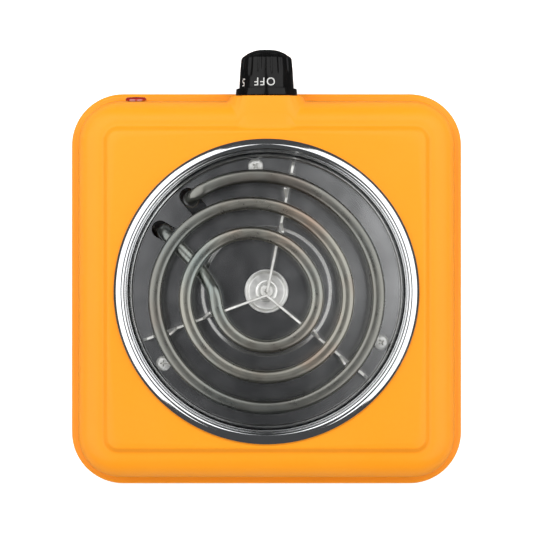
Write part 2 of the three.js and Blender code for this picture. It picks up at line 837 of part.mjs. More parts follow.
function lampClip() {
  const top = -SHEET - GAP;
  return turned([[4.9, top - 1], [6.9, top - 1], [7.4, top], [4.9, top]], 16);
}

// ---------- wiring ----------

function terminalBlock() {
  const floor = BASE_Z + SHEET + GAP;
  const cut = [-6, 6].map((x) => cylinder(2.4, floor + 4, floor + 20, 12).translate(x, 0, 0));
  return carve(box([-12, -8, floor], [12, 8, floor + 12]), { cut });
}

function terminalScrew() {
  const seat = BASE_Z + SHEET + 2 * GAP + 4;
  return turned([[0, seat], [2.1, seat], [2.1, seat + 5], [0, seat + 5.6]], 10);
}

// Routes of the insulated leads, in the object's frame, well clear of everything between their ends.
function leadRoutes() {
  const [blockX, blockY] = TERMINAL_BLOCK;
  const [first, second] = tubeEnds().map(([x, y]) => [x, y + BURNER_Y]);
  const pinZ = TUBE_END_Z - 14.8;
  const behind = BOSS_FACE_Y - BIMETAL_FACE + 4;
  const lampBack = lampPlace()[1] + 18;
  return {
    lead_live: [
      [blockX - 6, blockY - 10, 18],
      [blockX - 18, blockY - 36, 19],
      [-52, -20, 21],
      [-34, -54, 27],
      [STACK_X - 18, behind, KNOB_Z - 6],
    ],
    lead_switched: [
      [STACK_X + 10, behind - 2, KNOB_Z - 6],
      [STACK_X + 16, behind + 10, 29],
      [first[0] + 1, first[1] - 9, 25],
      [first[0], first[1], pinZ],
    ],
    lead_return: [
      [second[0], second[1], pinZ],
      [second[0] - 4, second[1] + 22, 22],
      [32, 40, 19],
      [0, 62, 18],
      [blockX + 14, blockY + 2, 18],
    ],
    lead_lamp: [
      [LAMP_X, lampBack, LAMP_Z - 2],
      [LAMP_X - 6, lampBack + 14, 28],
      [second[0] + 9, second[1] - 6, 23],
      [second[0] + 3.4, second[1] + 2, pinZ],
    ],
  };
}

// ---------- assembly ----------

function mesh(name, geometry, finish) {
  const part = new THREE.Mesh(geometry, new THREE.MeshStandardMaterial(FINISHES[finish]));
  part.name = name;
  return part;
}

function group(children, position, tilt = 0) {
  const holder = new THREE.Group();
  holder.position.set(...position);
  holder.rotation.x = tilt;
  holder.add(...children);
  return holder;
}

function placed(part, x, y, z = 0) {
  part.position.set(x, y, z);
  return part;
}

function turnedBy(part, degrees) {
  part.rotation.z = THREE.MathUtils.degToRad(degrees);
  return part;
}

function bodyParts() {
  const parts = [mesh("upper_shell", upperShell(), "paint"), mesh("base_plate", basePlate(), "steel")];
  footPlaces().forEach(([x, y], i) => {
    parts.push(placed(mesh(`foot_${i + 1}`, foot(), "rubber"), x, y));
    parts.push(placed(mesh(`foot_screw_${i + 1}`, footScrew(), "steel"), x, y));
  });
  return group(parts, [0, BODY_Y, 0]);
}

function burnerParts() {
  const parts = [
    mesh("trim_ring", trimRing(), "chrome"),
    mesh("drip_pan", dripPan(), "pan"),
    mesh("centre_disc", centreDisc(), "chrome"),
    mesh("centre_screw", centreScrew(), "steel"),
    mesh("centre_nut", centreNut(), "steel"),
  ];
  SCREW_ANGLES.forEach((angle, i) => {
    const [x, y] = polar(SCREW_CIRCLE, angle);
    parts.push(placed(mesh(`pan_screw_${i + 1}`, panScrew(), "steel"), x, y));
    parts.push(turnedBy(mesh(`pan_bracket_${i + 1}`, panBracket(), "steel"), angle));
  });
  return group(parts, [0, BURNER_Y, 0]);
}

function heaterParts() {
  const parts = [
    mesh("heating_coil", heatingCoil(), "heater"),
    mesh("coil_support_v", coilSupportV(), "steel"),
    mesh("coil_support_arm", coilSupportArm(), "steel"),
  ];
  [polar(COIL_OUTER_RADIUS + COIL_FLARE, COIL_START), INNER_END].forEach(([x, y], i) => {
    parts.push(placed(mesh(`coil_insulator_${i + 1}`, coilInsulator(), "ceramic"), x, y));
    parts.push(placed(mesh(`coil_terminal_${i + 1}`, coilTerminal(), "steel"), x, y));
  });
  return group(parts, [0, COIL_Y, 0]);
}

function controlParts() {
  const washers = [
    ["stack_front", ARM_FACE + STACK_CLEAR, STACK_FRONT - 1.5 - GAP],
    ["stack_middle", FIXED_FACE + GAP, ARM_FACE - LEAF - STACK_CLEAR],
    ["stack_rear", BIMETAL_FACE + GAP, FIXED_FACE - LEAF - GAP],
  ];
  const parts = washers.map(([name, bottom, top]) =>
    placed(mesh(name, stackWasher(bottom, top), "ceramic"), STACK_X, 0),
  );
  parts.push(
    mesh("knob", knob(), "black"),
    mesh("thermostat_spindle", thermostatSpindle(), "brass"),
    mesh("thermostat_nut", thermostatNut(), "brass"),
    mesh("thermostat_bracket", thermostatBracket(), "steel"),
    mesh("adjusting_pin", adjustingPin(), "ceramic"),
    mesh("contact_arm", contactArm(), "brass"),
    mesh("fixed_contact", fixedContact(), "brass"),
    mesh("bimetal_strip", bimetalStrip(), "steel"),
    placed(mesh("stack_rivet", stackRivet(), "steel"), STACK_X, 0),
  );
  return group(parts, [0, BOSS_FACE_Y, KNOB_Z], Math.PI / 2);
}

function lampParts() {
  const parts = [
    mesh("lamp_lens", lampLens(), "red"),
    mesh("lamp_bulb", lampBulb(), "glass"),
    mesh("lamp_clip", lampClip(), "steel"),
  ];
  return group(parts, lampPlace(), lampTilt());
}

function wiringParts() {
  const [blockX, blockY] = TERMINAL_BLOCK;
  const parts = [
    placed(mesh("terminal_block", terminalBlock(), "ceramic"), blockX, blockY),
    placed(mesh("terminal_screw_1", terminalScrew(), "brass"), blockX - 6, blockY),
    placed(mesh("terminal_screw_2", terminalScrew(), "brass"), blockX + 6, blockY),
    placed(mesh("cord_gland", cordGland(), "rubber"), ...GLAND),
    placed(mesh("earth_screw", earthScrew(), "steel"), ...EARTH_SCREW),
  ];
  for (const [name, route] of Object.entries(leadRoutes())) {
    parts.push(mesh(name, wire(route, 1.3, 16, 6), "lead"));
  }
  return group(parts, [0, 0, 0]);
}

const hotPlate = new THREE.Group();
hotPlate.add(bodyParts(), burnerParts(), heaterParts(), controlParts(), lampParts(), wiringParts());
export default hotPlate;
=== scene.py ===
"""Looks of a single coil hot plate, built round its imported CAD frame.

Shapes are worked out in millimetres in the frame's own axes (+Z up, the knob towards -Y), and
become metres when a mesh is made.
"""

import json
import math
from contextlib import contextmanager

import bmesh
import bpy
import numpy as np
from mathutils import Matrix, Vector


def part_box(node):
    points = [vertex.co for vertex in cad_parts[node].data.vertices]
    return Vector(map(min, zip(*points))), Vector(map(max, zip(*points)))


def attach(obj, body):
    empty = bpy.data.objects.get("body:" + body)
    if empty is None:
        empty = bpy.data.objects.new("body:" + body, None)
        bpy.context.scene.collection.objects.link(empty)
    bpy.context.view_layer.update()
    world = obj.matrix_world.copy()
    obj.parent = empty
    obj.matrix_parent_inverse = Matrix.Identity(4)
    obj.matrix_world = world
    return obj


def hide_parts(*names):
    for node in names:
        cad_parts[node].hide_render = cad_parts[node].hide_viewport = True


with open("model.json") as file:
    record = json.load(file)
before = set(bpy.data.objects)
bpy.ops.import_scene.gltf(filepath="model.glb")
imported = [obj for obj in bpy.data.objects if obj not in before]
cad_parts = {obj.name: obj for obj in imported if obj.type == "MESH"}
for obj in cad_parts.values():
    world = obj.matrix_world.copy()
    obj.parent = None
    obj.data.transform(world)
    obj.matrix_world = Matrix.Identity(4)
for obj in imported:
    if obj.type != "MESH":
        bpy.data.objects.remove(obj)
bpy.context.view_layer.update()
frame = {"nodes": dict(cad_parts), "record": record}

# ---------- sizes ----------

MM = 0.001
MERGE = 1e-6
GAP = 0.3
SHEET = 1.0


def corners(node):
    low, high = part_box(node)
    return np.array(low) / MM, np.array(high) / MM


def middle(node):
    low, high = corners(node)
    return (low + high) / 2


shell_low, shell_high = corners("upper_shell")
BODY_HALF = (shell_high[0] - shell_low[0]) / 2
BODY_Y = shell_high[1] - BODY_HALF
SKIRT_Z = shell_low[2]
PLATEAU_Z = shell_high[2]
FLANGE_Z = SKIRT_Z + 12.5
CORNER_CENTRE = 77.3
CREASE_HALF = 101.3
WALL_TOP_HALF = 98.8
WALL_TOP_Z = FLANGE_Z + 25
SHOULDER_Z = PLATEAU_Z - 2.3
STEP_OUTER = 85.4
STEP_INNER = 82.6
LIP_INNER_SHARE = 0.86

WELL_HOLE = 75.4
WELL_HOLE_TAPER = 0.997
WELL_HOLE_DROP = 0.5
WELL_WALL = 72.5

ring_low, ring_high = corners("trim_ring")
RING_RADIUS = (ring_high[0] - ring_low[0]) / 2
RING_TOP = ring_high[2]
BURNER = (middle("trim_ring")[0], middle("trim_ring")[1])

pan_low, pan_high = corners("drip_pan")
PAN_UNDER = pan_low[2]
PAN_TOP = PAN_UNDER + 0.8
PAN_RADIUS = (pan_high[0] - pan_low[0]) / 2
PAN_RAISE = 0.8
PAN_STEP = 33.7
PAN_HOLE_RADIUS = 2.25
PAN_HOLE_TOP = 52
SLOT_PLACE_RADIUS = 60.5
SLOT_HALF_LENGTH = 8.5
SLOT_HALF_WIDTH = 4.25
SLOT_FLARE = 0.85

TUBE_RADIUS = 3.5
TUBE_FLAT = 2.9
TUBE_FLAT_MARGIN = 0.06
TUBE_FLAT_BLEND = 1.3
COIL = (BURNER[0], BURNER[1] + 2.15)
COIL_Z = frame["record"]["mounts"][0]["pos_m"][2] / MM - TUBE_FLAT
COIL_OUTER_RADIUS = 58.3
COIL_PITCH = 15.9
COIL_START = 308.4
COIL_FLARE = 6
COIL_FLARE_SWEEP = 90
COIL_JOG_STARTS = (298, 658)
COIL_JOG_SWEEP = 160
COIL_SWEEP = 1016
COIL_STEP = 12
OUTER_BEND = 7.8
INNER_BEND = 6
TUBE_END_Z = corners("heating_coil")[0][2]
LEAD_Z = 55.6
LEAD_POINTS = [(27.3, -1.6, 61.9), (30.6, -7.4, 58.8), (35.6, -14.3, 56.2)]
INNER_END = (54, -33.65)
INNER_END_Z = 45
TERMINAL_DROP = 14.8

ARM_THICKNESS = 1.4
ARM_ANGLES = (20, 140.7, 258.5)
ARM_STARTS = (-0.4, -0.4, 1.7)
ARM_REACH = 69.5
ARM_TOP_Z = COIL_Z - TUBE_RADIUS - GAP
ARM_EDGE = 0.25
TAB_RISE = 3.6
TAB_LENGTH = 5.0
TAB_LEANS = (1.6, -1.6, 1.6)

knob_low, knob_high = corners("knob")
KNOB_Z = (knob_low[2] + knob_high[2]) / 2
KNOB_STAND_OFF = 0.6
KNOB_TIP = knob_high[1] - knob_low[1] + KNOB_STAND_OFF
KNOB_HOLLOW = 11.6
KNOB_HOLLOW_END = 18.6
SPINDLE_BORE = 3.3
SPINDLE_BORE_END = 16.4
SPINDLE_FLAT = 2.2
GRIP_RADIUS = 14.5
GRIP_TAPER = 0.9
GRIP_START = 4.6
GRIP_END = 21.6
GRIP_TAPER_LENGTH = GRIP_END - 1.4 - GRIP_START
FLUTES = 16
FLUTE_SEGMENTS = 14
FLUTE_DEPTH = 0.6
FLUTE_PHASE = 1 / 3

DIAL_LABELS = {"OFF": 4, "5": 57.5, "4": 111, "3": 164.5, "2": 218, "1": 271.5}
LABEL_HEIGHT = 4.3
LABEL_MIDDLE = 7.6
LABEL_CUT = 0.4
LABEL_REACH = 8
CAPITAL_SHARE = 0.73
INK = 0.06
INK_SINK = 0.02

BOSS_FACE_Y = knob_high[1] + KNOB_STAND_OFF
BOSS_HALF_WIDTH = 19.1
BOSS_HALF_HEIGHT = 17.7
BOSS_MIDDLE_Z = KNOB_Z - 0.3
BOSS_CORNER = 9.0
BOSS_HALF = BODY_Y - BOSS_FACE_Y
BOSS_SLOPE = 5.2
BOSS_BLEND = 7.5
BOSS_EDGE = 1.7
BOSS_EDGE_X = (15, 30)

LENS_PROUD = 2.4
LENS_RADIUS = 5.7
LENS_NECK = 4.6
LENS_BORE = 3.3
LENS_BACK = -14
LAMP_HOLE = 4.9
COLLAR_HOLE = 5.3
HOLE_CUT = 4

BASE_LOW, BASE_HIGH = (corners("base_plate")[i][2] for i in (0, 1))
BASE_EDGE = 0.2
VENTS = 8
VENT_START = -44
VENT_PITCH = 11
VENT_HALF_LENGTH = 50
VENT_HALF_WIDTH = 2.5
FOOT_HOLE = 2.2
FOOT_BORE = 2.3
FOOT_POCKET = 4.6
FOOT_SEAT = 5
FOOT_SCREW_HEAD = 2.5
GLAND_HOLE = 6.3
GLAND_BORE = 3.5
EARTH_HOLE = 2.3
SLEEVE_RADIUS = 1.3

FLOOR_REACH = 3.0
FLOOR_DROP = 0.0002
FLOOR_GLOW = 0.55
FLOOR_GLOW_START = (0.085, 0.104)
SOFTBOX_AIM = Vector((0, 0, 0.05))


# ---------- shape tools ----------

def unit(vector):
    return vector / np.linalg.norm(vector)


def smooth(value):
    value = np.clip(value, 0, 1)
    return value * value * (3 - 2 * value)


def polar(radius, degrees):
    angle = np.radians(degrees)
    return radius * np.cos(angle), radius * np.sin(angle)


def circle(count):
    angles = np.linspace(0, 2 * math.pi, count, endpoint=False)
    return np.column_stack([np.cos(angles), np.sin(angles)])


def fillet(points, steps=5):
    """An open outline with rounded corners; a point is (x, y) or, to round it, (x, y, radius)."""
    outline = [np.array(points[0][:2], float)]
    for before, corner, after in zip(points, points[1:], points[2:]):
        here = np.array(corner[:2], float)
        if len(corner) == 2:
            outline.append(here)
            continue
        back = unit(np.array(before[:2]) - here)
        ahead = unit(np.array(after[:2]) - here)
        half_angle = math.acos(np.clip(back @ ahead, -1, 1)) / 2
        centre = here + unit(back + ahead) * corner[2] / math.sin(half_angle)
        reach = corner[2] / math.tan(half_angle)
        start = here + back * reach - centre
        end = here + ahead * reach - centre
        for share in np.linspace(0, 1, steps + 1):
            outline.append(centre + unit(start * (1 - share) + end * share) * corner[2])
    outline.append(np.array(points[-1][:2], float))
    return outline


def rounded_rectangle(half_x, half_y, radius, steps=6):
    outline = []
    for quarter, (sign_x, sign_y) in enumerate([(1, 1), (-1, 1), (-1, -1), (1, -1)]):
        for step in range(steps + 1):
            x, y = polar(radius, 90 * (quarter + step / steps))
            outline.append((sign_x * (half_x - radius) + x, sign_y * (half_y - radius) + y))
    return np.array(outline)


def round_hole(radius, steps=6):
    return rounded_rectangle(radius, radius, radius - 0.01, steps)


def skin(rings, joined=False):
    """Vertices and faces over a stack of rings; joined also links the last ring to the first."""
    rings = [np.asarray(ring, float) for ring in rings]
    count = len(rings[0])
    faces = []
    for row in range(len(rings) if joined else len(rings) - 1):
        low = row * count
        high = (row + 1) % len(rings) * count
        for i in range(count):
            j = (i + 1) % count
            faces.append((low + i, low + j, high + j, high + i))
    return np.vstack(rings), faces


def closed(rings):
    """A skin that is closed over its first and last ring."""
    rings = [np.asarray(ring, float) for ring in rings]
    first = np.tile(rings[0].mean(axis=0), (len(rings[0]), 1))
    last = np.tile(rings[-1].mean(axis=0), (len(rings[0]), 1))
    return skin([first, *rings, last])


def turned(profile, segments=96, joined=False):
    """A body of revolution about Z from (radius, height) pairs; joined closes the profile."""
    outline = circle(segments)
    return skin([lifted(radius * outline, height) for radius, height in profile], joined)


def lifted(outline, z):
    return np.column_stack([outline, np.full(len(outline), z)])


def moved(shape, x=0.0, y=0.0, z=0.0, turn=0.0, tilt=0.0):
    """A shape tilted about X, then turned about Z, both in degrees, then moved."""
    vertices, faces = shape
    about_z = Matrix.Rotation(math.radians(turn), 3, "Z")
    about_x = Matrix.Rotation(math.radians(tilt), 3, "X")
    return vertices @ np.array(about_z @ about_x).T + (x, y, z), faces


def through(points, steps):
    """A centripetal Catmull-Rom curve through points, with that many steps in each span."""
    points = [np.array(point, float) for point in points]
    points = [2 * points[0] - points[1], *points, 2 * points[-1] - points[-2]]
    path = []
    for p0, p1, p2, p3 in zip(points, points[1:], points[2:], points[3:]):
        spans = ((p0, p1), (p1, p2), (p2, p3))
        d0, d1, d2 = (math.sqrt(np.linalg.norm(b - a)) for a, b in spans)
        leave = ((p1 - p0) / d0 - (p2 - p0) / (d0 + d1) + (p2 - p1) / d1) * d1
        arrive = ((p2 - p1) / d1 - (p3 - p1) / (d1 + d2) + (p3 - p2) / d2) * d1
        for t in np.linspace(0, 1, steps, endpoint=False):
            square = 3 * (p2 - p1) - 2 * leave - arrive
            cube = 2 * (p1 - p2) + leave + arrive
            path.append(p1 + leave * t + square * t * t + cube * t ** 3)
    path.append(points[-2])
    return np.array(path)


def level_frames(path):
    """Tangents and sides along a path, level in its middle and carried on untwisted."""
    tangents = np.gradient(path, axis=0)
    tangents /= np.linalg.norm(tangents, axis=1)[:, None]
    sides = np.zeros_like(tangents)
    centre = len(path) // 2
    sides[centre] = unit(np.cross((0, 0, 1), tangents[centre]))
    order = [(i, i + 1) for i in range(centre, len(path) - 1)]
    order += [(i, i - 1) for i in range(centre, 0, -1)]
    for known, wanted in order:
        side = sides[known] - tangents[wanted] * (sides[known] @ tangents[wanted])
        sides[wanted] = unit(side)
    return tangents, sides


def swept(path, section):
    """A closed tube along a path; section(i) gives its (sideways, up) pairs at point i."""
    tangents, sides = level_frames(path)
    rings = []
    for i, place in enumerate(path):
        up = np.cross(tangents[i], sides[i])
        pairs = section(i)
        rings.append(place + pairs[:, :1] * sides[i] + pairs[:, 1:] * up)
    return closed(rings)


# ---------- pieces ----------

def add_object(name, data):
    item = bpy.data.objects.new(name, data)
    bpy.context.scene.collection.objects.link(item)
    return item


def mesh_of(item):
    """The mesh that a curve, a text or an object with modifiers comes out as."""
    graph = bpy.context.evaluated_depsgraph_get()
    return bpy.data.meshes.new_from_object(item.evaluated_get(graph))


@contextmanager
def editing(data):
    work = bmesh.new()
    work.from_mesh(data)
    yield work
    work.to_mesh(data)
    work.free()


def mesh_object(name, shapes):
    data = bpy.data.meshes.new(name)
    work = bmesh.new()
    for vertices, faces in shapes:
        made = [work.verts.new(Vector(vertex) * MM) for vertex in vertices]
        for face in faces:
            work.faces.new([made[i] for i in face])
    bmesh.ops.remove_doubles(work, verts=work.verts, dist=MERGE)
    bmesh.ops.dissolve_degenerate(work, edges=work.edges, dist=MERGE / 10)
    bmesh.ops.recalc_face_normals(work, faces=work.faces)
    work.to_mesh(data)
    work.free()
    return add_object(name, data)


def bake(piece):
    """Replaces a piece's mesh by what its modifiers make of it."""
    piece.data = mesh_of(piece)
    piece.modifiers.clear()


def cut_away(piece, cutters):
    tools = []
    for shape in cutters:
        tool = mesh_object("cutter", [shape])
        cut = piece.modifiers.new("cut", "BOOLEAN")
        cut.operation = "DIFFERENCE"
        cut.solver = "EXACT"
        cut.object = tool
        tools.append(tool)
    bake(piece)
    for tool in tools:
        bpy.data.objects.remove(tool)


def settle(piece, finish, nodes, body="body", sharp=32):
    """Gives a finished shape its material and its place in the frame."""
    piece.data.materials.clear()
    piece.data.materials.append(finish)
    piece.data.shade_smooth()
    piece.data.set_sharp_from_angle(angle=math.radians(sharp))
    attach(piece, body)
    if nodes:
        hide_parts(*nodes)


# ---------- materials ----------

NOISE_LOW = 0.35
NOISE_HIGH = 0.65


class Finish:
    """A node-based material while it is being made."""

    def __init__(self, name, color, roughness, metallic=0.0):
        self.material = bpy.data.materials.new(name)
        self.material.use_nodes = True
        self.tree = self.material.node_tree
        self.shader = self.tree.nodes["Principled BSDF"]
        self.place = self.node("ShaderNodeTexCoord", {}).outputs["Object"]
        self.set("Base Color", (*color, 1))
        self.set("Roughness", roughness)
        self.set("Metallic", metallic)
        self.color = (*color, 1)
        self.height = None

    def link(self, output, target):
        self.tree.links.new(output, target)

    def node(self, kind, inputs, **settings):
        """A new node; inputs gives its sockets constants or other nodes' outputs."""
        made = self.tree.nodes.new(kind)
        for key, value in settings.items():
            setattr(made, key, value)
        for key, value in inputs.items():
            if isinstance(value, bpy.types.NodeSocket):
                self.link(value, made.inputs[key])
            else:
                made.inputs[key].default_value = value
        return made

    def set(self, socket, value):
        self.shader.inputs[socket].default_value = value

    def noise(self, scale, detail=4.0):
        """Noise from 0 to 1; scale is its number of features in a metre."""
        inputs = {"Scale": scale, "Detail": detail, "Vector": self.place}
        return self.node("ShaderNodeTexNoise", inputs).outputs["Fac"]

    def rings(self, centre, scale, detail=3.0):
        """Noise that only varies with the distance from an axis, like turning marks."""
        inputs = {"Scale": scale, "Detail": detail, "W": self.radius_from(centre)}
        return self.node("ShaderNodeTexNoise", inputs, noise_dimensions="1D").outputs["Fac"]

    def radius_from(self, centre):
        """Distance in metres from an upright axis through a point in millimetres."""
        output = self.place
        shift = (centre[0] * MM, centre[1] * MM, 0)
        for operation, operand in (("SUBTRACT", shift), ("MULTIPLY", (1, 1, 0))):
            step = self.node("ShaderNodeVectorMath", {0: output, 1: operand}, operation=operation)
            output = step.outputs["Vector"]
        length = self.node("ShaderNodeVectorMath", {0: output}, operation="LENGTH")
        return length.outputs["Value"]

    def spread(self, value, low, high, start=NOISE_LOW, end=NOISE_HIGH):
        """Maps a value, by default the usual part of a noise, onto a range."""
        inputs = {"Value": value, "From Min": start, "From Max": end}
        inputs |= {"To Min": low, "To Max": high}
        return self.node("ShaderNodeMapRange", inputs, clamp=True).outputs["Result"]

    def combine(self, first, second, operation="ADD"):
        inputs = {0: first, 1: second}
        return self.node("ShaderNodeMath", inputs, operation=operation).outputs["Value"]

    def paint(self, output):
        """Sets the base colour; later layers are mixed over it."""
        self.color = output
        self.link(output, self.shader.inputs["Base Color"])

    def overlay(self, factor, shade):
        inputs = {"Factor": factor, "A": self.color, "B": (*shade, 1)}
        self.paint(self.node("ShaderNodeMix", inputs, data_type="RGBA").outputs["Result"])

    def mottle(self, scale, shade, detail=4.0, most=1.0, start=NOISE_LOW, end=NOISE_HIGH):
        """Patches of another shade laid over the colour."""
        self.overlay(self.spread(self.noise(scale, detail), 0, most, start, end), shade)

    def gloss(self, scale, low, high, detail=3.0):
        """Roughness that wanders between two values."""
        roughness = self.spread(self.noise(scale, detail), low, high)
        self.link(roughness, self.shader.inputs["Roughness"])

    def relief(self, value, depth):
        """Adds a height in millimetres, times value, to the surface's fine relief."""
        layer = self.combine(value, depth * MM, "MULTIPLY")
        self.height = layer if self.height is None else self.combine(self.height, layer)

    def done(self):
        if self.height is not None:
            inputs = {"Strength": 1.0, "Distance": 1.0, "Height": self.height}
            bump = self.node("ShaderNodeBump", inputs)
            self.link(bump.outputs["Normal"], self.shader.inputs["Normal"])
        return self.material


def layered(name, color, roughness, metallic, shades, gloss, reliefs=(), sockets=None):
    """A finish of mottled shades, wandering gloss and (scale, detail, depth) reliefs."""
    finish = Finish(name, color, roughness, metallic)
    for shade in shades:
        finish.mottle(*shade)
    finish.gloss(*gloss)
    for scale, detail, depth in reliefs:
        finish.relief(finish.noise(scale, detail), depth)
    for socket, value in (sockets or {}).items():
        finish.set(socket, value)
    return finish.done()


def spun_chrome():
    finish = Finish("spun_chrome", (0.88, 0.88, 0.86), 0.34, 1.0)
    finish.mottle(260, (0.74, 0.74, 0.72), 5)
    finish.gloss(400, 0.30, 0.38)
    finish.relief(finish.rings(BURNER, 2600), 0.004)
    return finish.done()


def pan_steel():
    """Dark pressed steel with painted reflections: a pale reflection painted over its -X side,
    and painted highlights that make its step and lip bright.
    """
    finish = Finish("dark_pan_steel", (0.24, 0.243, 0.25), 0.23, 1.0)
    # Painted reflection: the steel is painted paler towards -X, standing in for light reflected
    # there.
    across = finish.node("ShaderNodeSeparateXYZ", {"Vector": finish.place})
    lengthwise = finish.combine(across.outputs["Y"], 0.25, "MULTIPLY")
    wander = finish.combine(finish.noise(22, 2), 0.04, "MULTIPLY")
    painted_sheen = finish.combine(finish.combine(across.outputs["X"], lengthwise), wander)
    finish.overlay(finish.spread(painted_sheen, 1, 0, -0.055, 0.03), (0.66, 0.665, 0.67))
    finish.mottle(45, (0.34, 0.342, 0.347), 1, 0.2)
    radius = finish.radius_from(BURNER)
    # Painted highlight: a bright band painted along the raised step, where the lights glint.
    from_step = finish.combine(finish.combine(radius, PAN_STEP * MM, "SUBTRACT"), 0, "ABSOLUTE")
    finish.overlay(finish.spread(from_step, 0.75, 0, 0.0004, 0.0011), (0.80, 0.80, 0.79))
    # Painted highlight: the top of the lip is painted bright, as a glint of the lights.
    lip_highlight_start, lip_highlight_end = (PAN_RADIUS - 1.2) * MM, (PAN_RADIUS - 1.0) * MM
    finish.overlay(finish.spread(radius, 0, 1, lip_highlight_start, lip_highlight_end), (0.85, 0.85, 0.84))
    finish.gloss(90, 0.21, 0.25, 1)
    finish.relief(finish.noise(1700, 2), 0.0006)
    return finish.done()


def heater_steel():
    """A heater sheath with tempering tints, drawing streaks, and a darker outer turn."""
    finish = Finish("heater_sheath", (0.37, 0.36, 0.315), 0.3, 1.0)
    finish.mottle(30, (0.38, 0.26, 0.19), 2, 0.85, 0.48, 0.66)
    finish.mottle(15, (0.22, 0.29, 0.295), 2, 0.85, 0.46, 0.62)
    outer_turn = finish.spread(finish.radius_from(COIL), 0, 0.7, 0.047, 0.055)
    finish.overlay(outer_turn, (0.19, 0.195, 0.185))
    finish.overlay(finish.spread(finish.rings(COIL, 900, 2), 0, 0.5), (0.22, 0.215, 0.19))
    finish.gloss(160, 0.27, 0.34, 2)
    finish.relief(finish.noise(1300, 3), 0.002)
    return finish.done()


def glass_sleeve():
    """Braided glass sleeving: two crossed fine waves make the braid."""
    finish = Finish("glass_sleeve", (0.80, 0.78, 0.71), 0.7)
    finish.mottle(300, (0.66, 0.62, 0.54))
    finish.gloss(400, 0.6, 0.8)
    for turn in (45, -45):
        rotation = (0, math.radians(turn), math.radians(turn))
        turned_by = {"Rotation": rotation, "Vector": finish.place}
        place = finish.node("ShaderNodeMapping", turned_by).outputs["Vector"]
        weave = {"Scale": 420, "Distortion": 0.6, "Vector": place}
        finish.relief(finish.node("ShaderNodeTexWave", weave).outputs["Fac"], 0.05)
    return finish.done()


FINISHES = {
    "paint": layered("orange_enamel", (0.95, 0.315, 0.011), 0.36, 0.0,
        [(9, (0.95, 0.33, 0.014), 2), (420, (0.90, 0.28, 0.009), 4, 0.10)], (60, 0.32, 0.40),
        [(900, 2, 0.006), (140, 2, 0.012)], {"Specular IOR Level": 0.28}),
    "ring_chrome": layered("bright_chrome", (0.86, 0.87, 0.88), 0.08, 1.0,
        [(55, (0.80, 0.815, 0.83), 5)], (230, 0.06, 0.11, 5)),
    "disc_chrome": spun_chrome(),
    "pan_steel": pan_steel(),
    "heater_tube": heater_steel(),
    "strip_steel": layered("bright_strip", (0.93, 0.93, 0.90), 0.55, 1.0,
        [(180, (0.78, 0.77, 0.74), 3)], (500, 0.5, 0.6), [(900, 3, 0.002)]),
    "screw_steel": layered("zinc_screw", (0.88, 0.88, 0.86), 0.2, 1.0,
        [(500, (0.74, 0.74, 0.71))], (900, 0.42, 0.52), [(1600, 3, 0.004)]),
    "zinc_steel": layered("zinc_sheet", (0.60, 0.61, 0.62), 0.36, 0.95,
        [(130, (0.49, 0.50, 0.52), 6), (22, (0.66, 0.67, 0.67), 2, 0.6)], (210, 0.28, 0.46),
        [(520, 3, 0.006)]),
    "knob_plastic": layered("black_plastic", (0.003, 0.003, 0.003), 0.16, 0.0,
        [(120, (0.005, 0.005, 0.005))], (260, 0.12, 0.2, 5), [(700, 2, 0.001)],
        {"Specular IOR Level": 0.22}),
    "lens_red": layered("red_lens", (0.46, 0.011, 0.007), 0.07, 0.0,
        [(160, (0.38, 0.008, 0.005), 3)], (500, 0.05, 0.10), [(700, 2, 0.002)],
        {"Coat Weight": 1.0, "Coat Roughness": 0.05, "Coat IOR": 2.0,
         "Transmission Weight": 0.1, "IOR": 1.8}),
    "foot_rubber": layered("black_rubber", (0.022, 0.022, 0.022), 0.78, 0.0,
        [(240, (0.036, 0.035, 0.034), 5)], (300, 0.68, 0.88), [(1400, 4, 0.02)]),
    "ceramic": layered("unglazed_ceramic", (0.80, 0.77, 0.69), 0.62, 0.0,
        [(220, (0.70, 0.65, 0.56), 5, 0.7)], (500, 0.52, 0.72), [(1500, 4, 0.02)]),
    "brass": layered("turned_brass", (0.74, 0.55, 0.24), 0.28, 1.0,
        [(300, (0.60, 0.42, 0.17), 5)], (600, 0.22, 0.38), [(1300, 3, 0.005)]),
    "lead_sleeve": glass_sleeve(),
    "bulb_glass": layered("bulb_glass", (0.92, 0.80, 0.74), 0.05, 0.0,
        [(300, (0.85, 0.66, 0.58), 2, 0.6)], (500, 0.03, 0.09), (),
        {"Transmission Weight": 0.7, "IOR": 1.5}),
}
DIAL_PRINT = layered("dial_print", (0.62, 0.62, 0.60), 0.5, 0.0,
    [(1800, (0.50, 0.50, 0.48), 3, 0.5)], (900, 0.42, 0.58), [(2500, 2, 0.003)])
NODE_SLOTS = {part["node"]: part["material_slot"] for part in frame["record"]["subparts"]}


def stand_in(name, shapes, node, cutters=(), sharp=32, body="body"):
    """A finished piece in place of one CAD node, in the material of that node's slot."""
    piece = mesh_object(name, shapes)
    if cutters:
        cut_away(piece, cutters)
    slot = NODE_SLOTS[node]
    settle(piece, FINISHES[slot], [node], body, sharp)


# ---------- body ----------

def smooth_max(a, b, width):
    share = np.clip(0.5 + (a - b) / (2 * width), 0, 1)
    return b + (a - b) * share + width * share * (1 - share)


def boss_reach(x, z):
    """How far out from the body's middle the control boss stands at a place on the front."""
    across = abs(x) - (BOSS_HALF_WIDTH - BOSS_CORNER)
    along = abs(z - BOSS_MIDDLE_Z) - (BOSS_HALF_HEIGHT - BOSS_CORNER)
    outside = math.hypot(max(across, 0), max(along, 0))
    distance = outside + min(max(across, along), 0) - BOSS_CORNER
    steepness = BOSS_SLOPE
    if outside > 0:
        steepness *= 1 + max(along, 0) / outside
    return BOSS_HALF - distance * steepness


def with_boss(x, z, half):
    side = smooth_max(half, boss_reach(x, z), BOSS_BLEND)
    face = -smooth_max(-BOSS_HALF, -side, BOSS_EDGE)
    return max(half, face)


